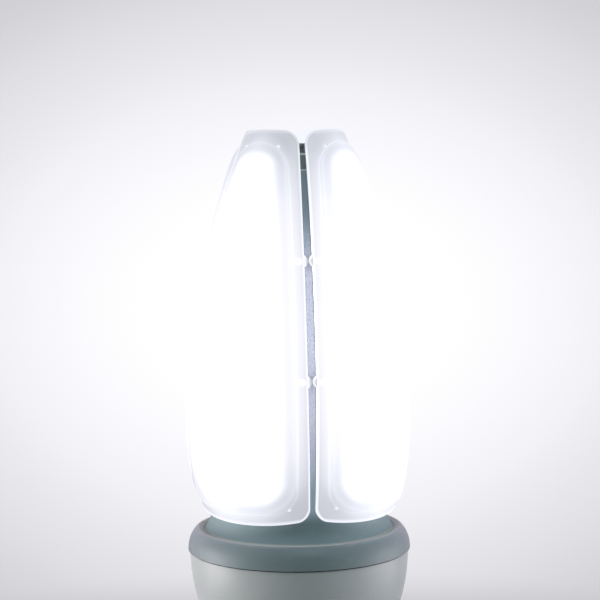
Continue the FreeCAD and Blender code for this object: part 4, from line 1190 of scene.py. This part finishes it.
@dataclass(frozen=True)
class Studio:
    """Floor, lights, background and camera.

    The camera's sizes are in millimetres and degrees, and the floor's in metres. The halo's stops pair a
    distance from its middle, in pixels of the picture, with a tone.
    """

    turn: float = -7.9
    distance: float = 800.0
    height: float = 278.3
    focal_pixels: float = 1933.3
    tilt: float = 5.29
    roll: float = -0.65
    pan: float = 0.1055
    picture: float = 600.0
    sensor: float = 36.0
    halo_drop: float = 0.13
    halo_width: float = 1.43
    halo_ends: Span = (0.0, 400.0)
    halo: Stops = (
        (0.0, 1.0), (110.0, 1.0), (150.0, 0.973), (170.0, 0.947), (188.0, 0.93), (218.0, 0.888),
        (248.0, 0.831), (278.0, 0.783), (303.0, 0.745), (330.0, 0.694), (350.0, 0.658), (400.0, 0.6),
    )
    halo_tint: Colour = (1.0, 0.99, 1.036)
    halo_tint_span: Span = (1.0, 0.95)
    least_depth: float = 0.05
    even_light: Colour = (0.74, 0.99, 1.0)
    even_strength: float = 0.055
    floor_radius: float = 0.4
    floor_segments: int = 96
    floor_tones: tuple[Colour, Colour] = ((0.74, 0.735, 0.75), (0.76, 0.755, 0.77))
    floor_scales: Span = (400.0, 12.0)
    floor_roughness: Span = (0.78, 0.82)
    floor_glow: float = 0.1
    floor_seen_glow: float = 0.2
    floor_fade: Span = (0.98, 0.45)
    lights: tuple[SoftLight, ...] = (
        SoftLight("left_softbox", (-0.84, 0.15, 0.04), 6.0, 0.6, (1.0, 0.955, 0.97)),
        SoftLight("right_softbox", (0.88, -0.04, 0.05), 4.0, 0.6, (0.965, 0.93, 1.0)),
        SoftLight("front_fill", (0.05, -0.55, 0.9), 1.7, 0.45, (0.8, 0.97, 1.0)),
    )

    def sight(self) -> tuple[Vector, Vector, Vector]:
        """The camera's right, up and forward directions.

        Returns:
            The three directions.
        """
        angle = math.radians(self.turn)
        tilt = math.radians(self.tilt)
        back = Vector((math.sin(angle), -math.cos(angle), 0))
        right = Vector((math.cos(angle), math.sin(angle), 0))
        forward = -back * math.cos(tilt) - Vector((0, 0, 1)) * math.sin(tilt)
        panned = (forward + right * math.tan(math.radians(self.pan))).normalized()
        across = (right - panned * right.dot(panned)).normalized()
        return across, across.cross(panned), panned

    def camera(self) -> None:
        """Set the camera at the photograph's angle."""
        right, up, forward = self.sight()
        data = bpy.data.cameras.new("camera")
        data.sensor_width = self.sensor
        data.lens = self.focal_pixels * self.sensor / self.picture
        data.dof.use_dof = False
        camera = bpy.data.objects.new("camera", data)
        bpy.context.scene.collection.objects.link(camera)
        turned = Matrix((right, up, -forward)).transposed().to_4x4()
        rolled = Matrix.Rotation(math.radians(self.roll), 4, "Z")
        angle = math.radians(self.turn)
        place = Vector((math.sin(angle) * self.distance, -math.cos(angle) * self.distance, self.height)) * MM
        camera.matrix_world = Matrix.Translation(place) @ turned @ rolled
        bpy.context.scene.camera = camera

    def background(self) -> None:
        """Pale background with a wide glow, seen by the camera and in reflections, and a low even light."""
        world = bpy.data.worlds.new("studio")
        bpy.context.scene.world = world
        world.use_nodes = True
        pad = NodePad(world.node_tree)
        pad.tree.nodes.clear()
        place = pad.add("ShaderNodeTexCoord")
        right, up, forward = self.sight()
        drop = math.radians(self.halo_drop)
        ahead = forward * math.cos(drop) - up * math.sin(drop)
        above = ahead.cross(right) * -1

        def along(way: Vector) -> Wire:
            """How far the ray's direction goes along one way.

            Args:
                way: The way, as a vector of length one.

            Returns:
                The share of the direction that lies along it.
            """
            node = pad.add("ShaderNodeVectorMath", operation="DOT_PRODUCT")
            pad.feed(node, 0, place.outputs["Generated"])
            node.inputs[1].default_value = way
            return Wire(pad, node.outputs["Value"])

        depth = along(ahead).most(self.least_depth)
        across = pad.math("DIVIDE", along(right), depth) * (self.focal_pixels / self.halo_width)
        rise = pad.math("DIVIDE", along(above), depth) * self.focal_pixels
        tone = pad.ramp(pad.distance(across, rise), self.halo_ends, self.halo)
        show = pad.add("ShaderNodeBackground")
        pad.feed(show, "Color", pad.blend(tone.step(*self.halo_tint_span), tone, self.halo_tint, "MULTIPLY"))
        light = pad.add("ShaderNodeBackground")
        light.inputs["Color"].default_value = (*self.even_light, 1)
        light.inputs["Strength"].default_value = self.even_strength
        rays = pad.add("ShaderNodeLightPath")
        straight = Wire(pad, rays.outputs["Is Camera Ray"])
        glossy = Wire(pad, rays.outputs["Is Glossy Ray"])
        through = Wire(pad, rays.outputs["Is Transmission Ray"])
        either = pad.add("ShaderNodeMixShader")
        pad.feed(either, 0, straight.most(glossy).most(through))
        pad.feed(either, 1, light.outputs[0])
        pad.feed(either, 2, show.outputs[0])
        out = pad.add("ShaderNodeOutputWorld")
        pad.feed(out, "Surface", either.outputs[0])

    def floor(self) -> None:
        """A pale disc below the contact, which fades out at its rim."""
        mesh = bpy.data.meshes.new("floor")
        sheet = bmesh.new()
        bmesh.ops.create_circle(sheet, cap_ends=True, segments=self.floor_segments, radius=self.floor_radius)
        sheet.to_mesh(mesh)
        sheet.free()
        floor = bpy.data.objects.new("floor", mesh)
        bpy.context.scene.collection.objects.link(floor)
        pad = ShaderPad("pale_floor")
        x, y, _ = pad.object_axes()
        away = pad.distance(x, y)
        marks = pad.grain(*self.floor_scales, self.floor_roughness)
        tone = pad.blend(marks["Mask"], *self.floor_tones)
        seen = Wire(pad, pad.add("ShaderNodeLightPath").outputs["Is Camera Ray"])
        pad.set(Base_Color=tone, Roughness=marks["Roughness"])
        pad.set(Emission_Color=tone, Emission_Strength=seen * self.floor_seen_glow + self.floor_glow)
        faces = pad.add("ShaderNodeNewGeometry")
        upper = 1.0 - Wire(pad, faces.outputs["Backfacing"])
        clear, full = (share * self.floor_radius / MM for share in self.floor_fade)
        pad.set(Alpha=away.step(clear, full) * upper)
        mesh.materials.append(pad.material)

    def build(self) -> None:
        """Set up the whole studio."""
        self.camera()
        self.background()
        for light in self.lights:
            light.build()
        self.floor()
        bpy.context.scene.view_settings.view_transform = "Standard"


def main() -> None:
    """Build the studio and the lamp's sub-assemblies."""
    logging.basicConfig(level=logging.INFO, format="%(name)s %(message)s")
    Studio().build()
    book = FinishBook()
    for kind in (ScrewCap, DriverCasing, Driver, LampHead):
        kind(book).build()


if __name__ == "__main__":
    main()
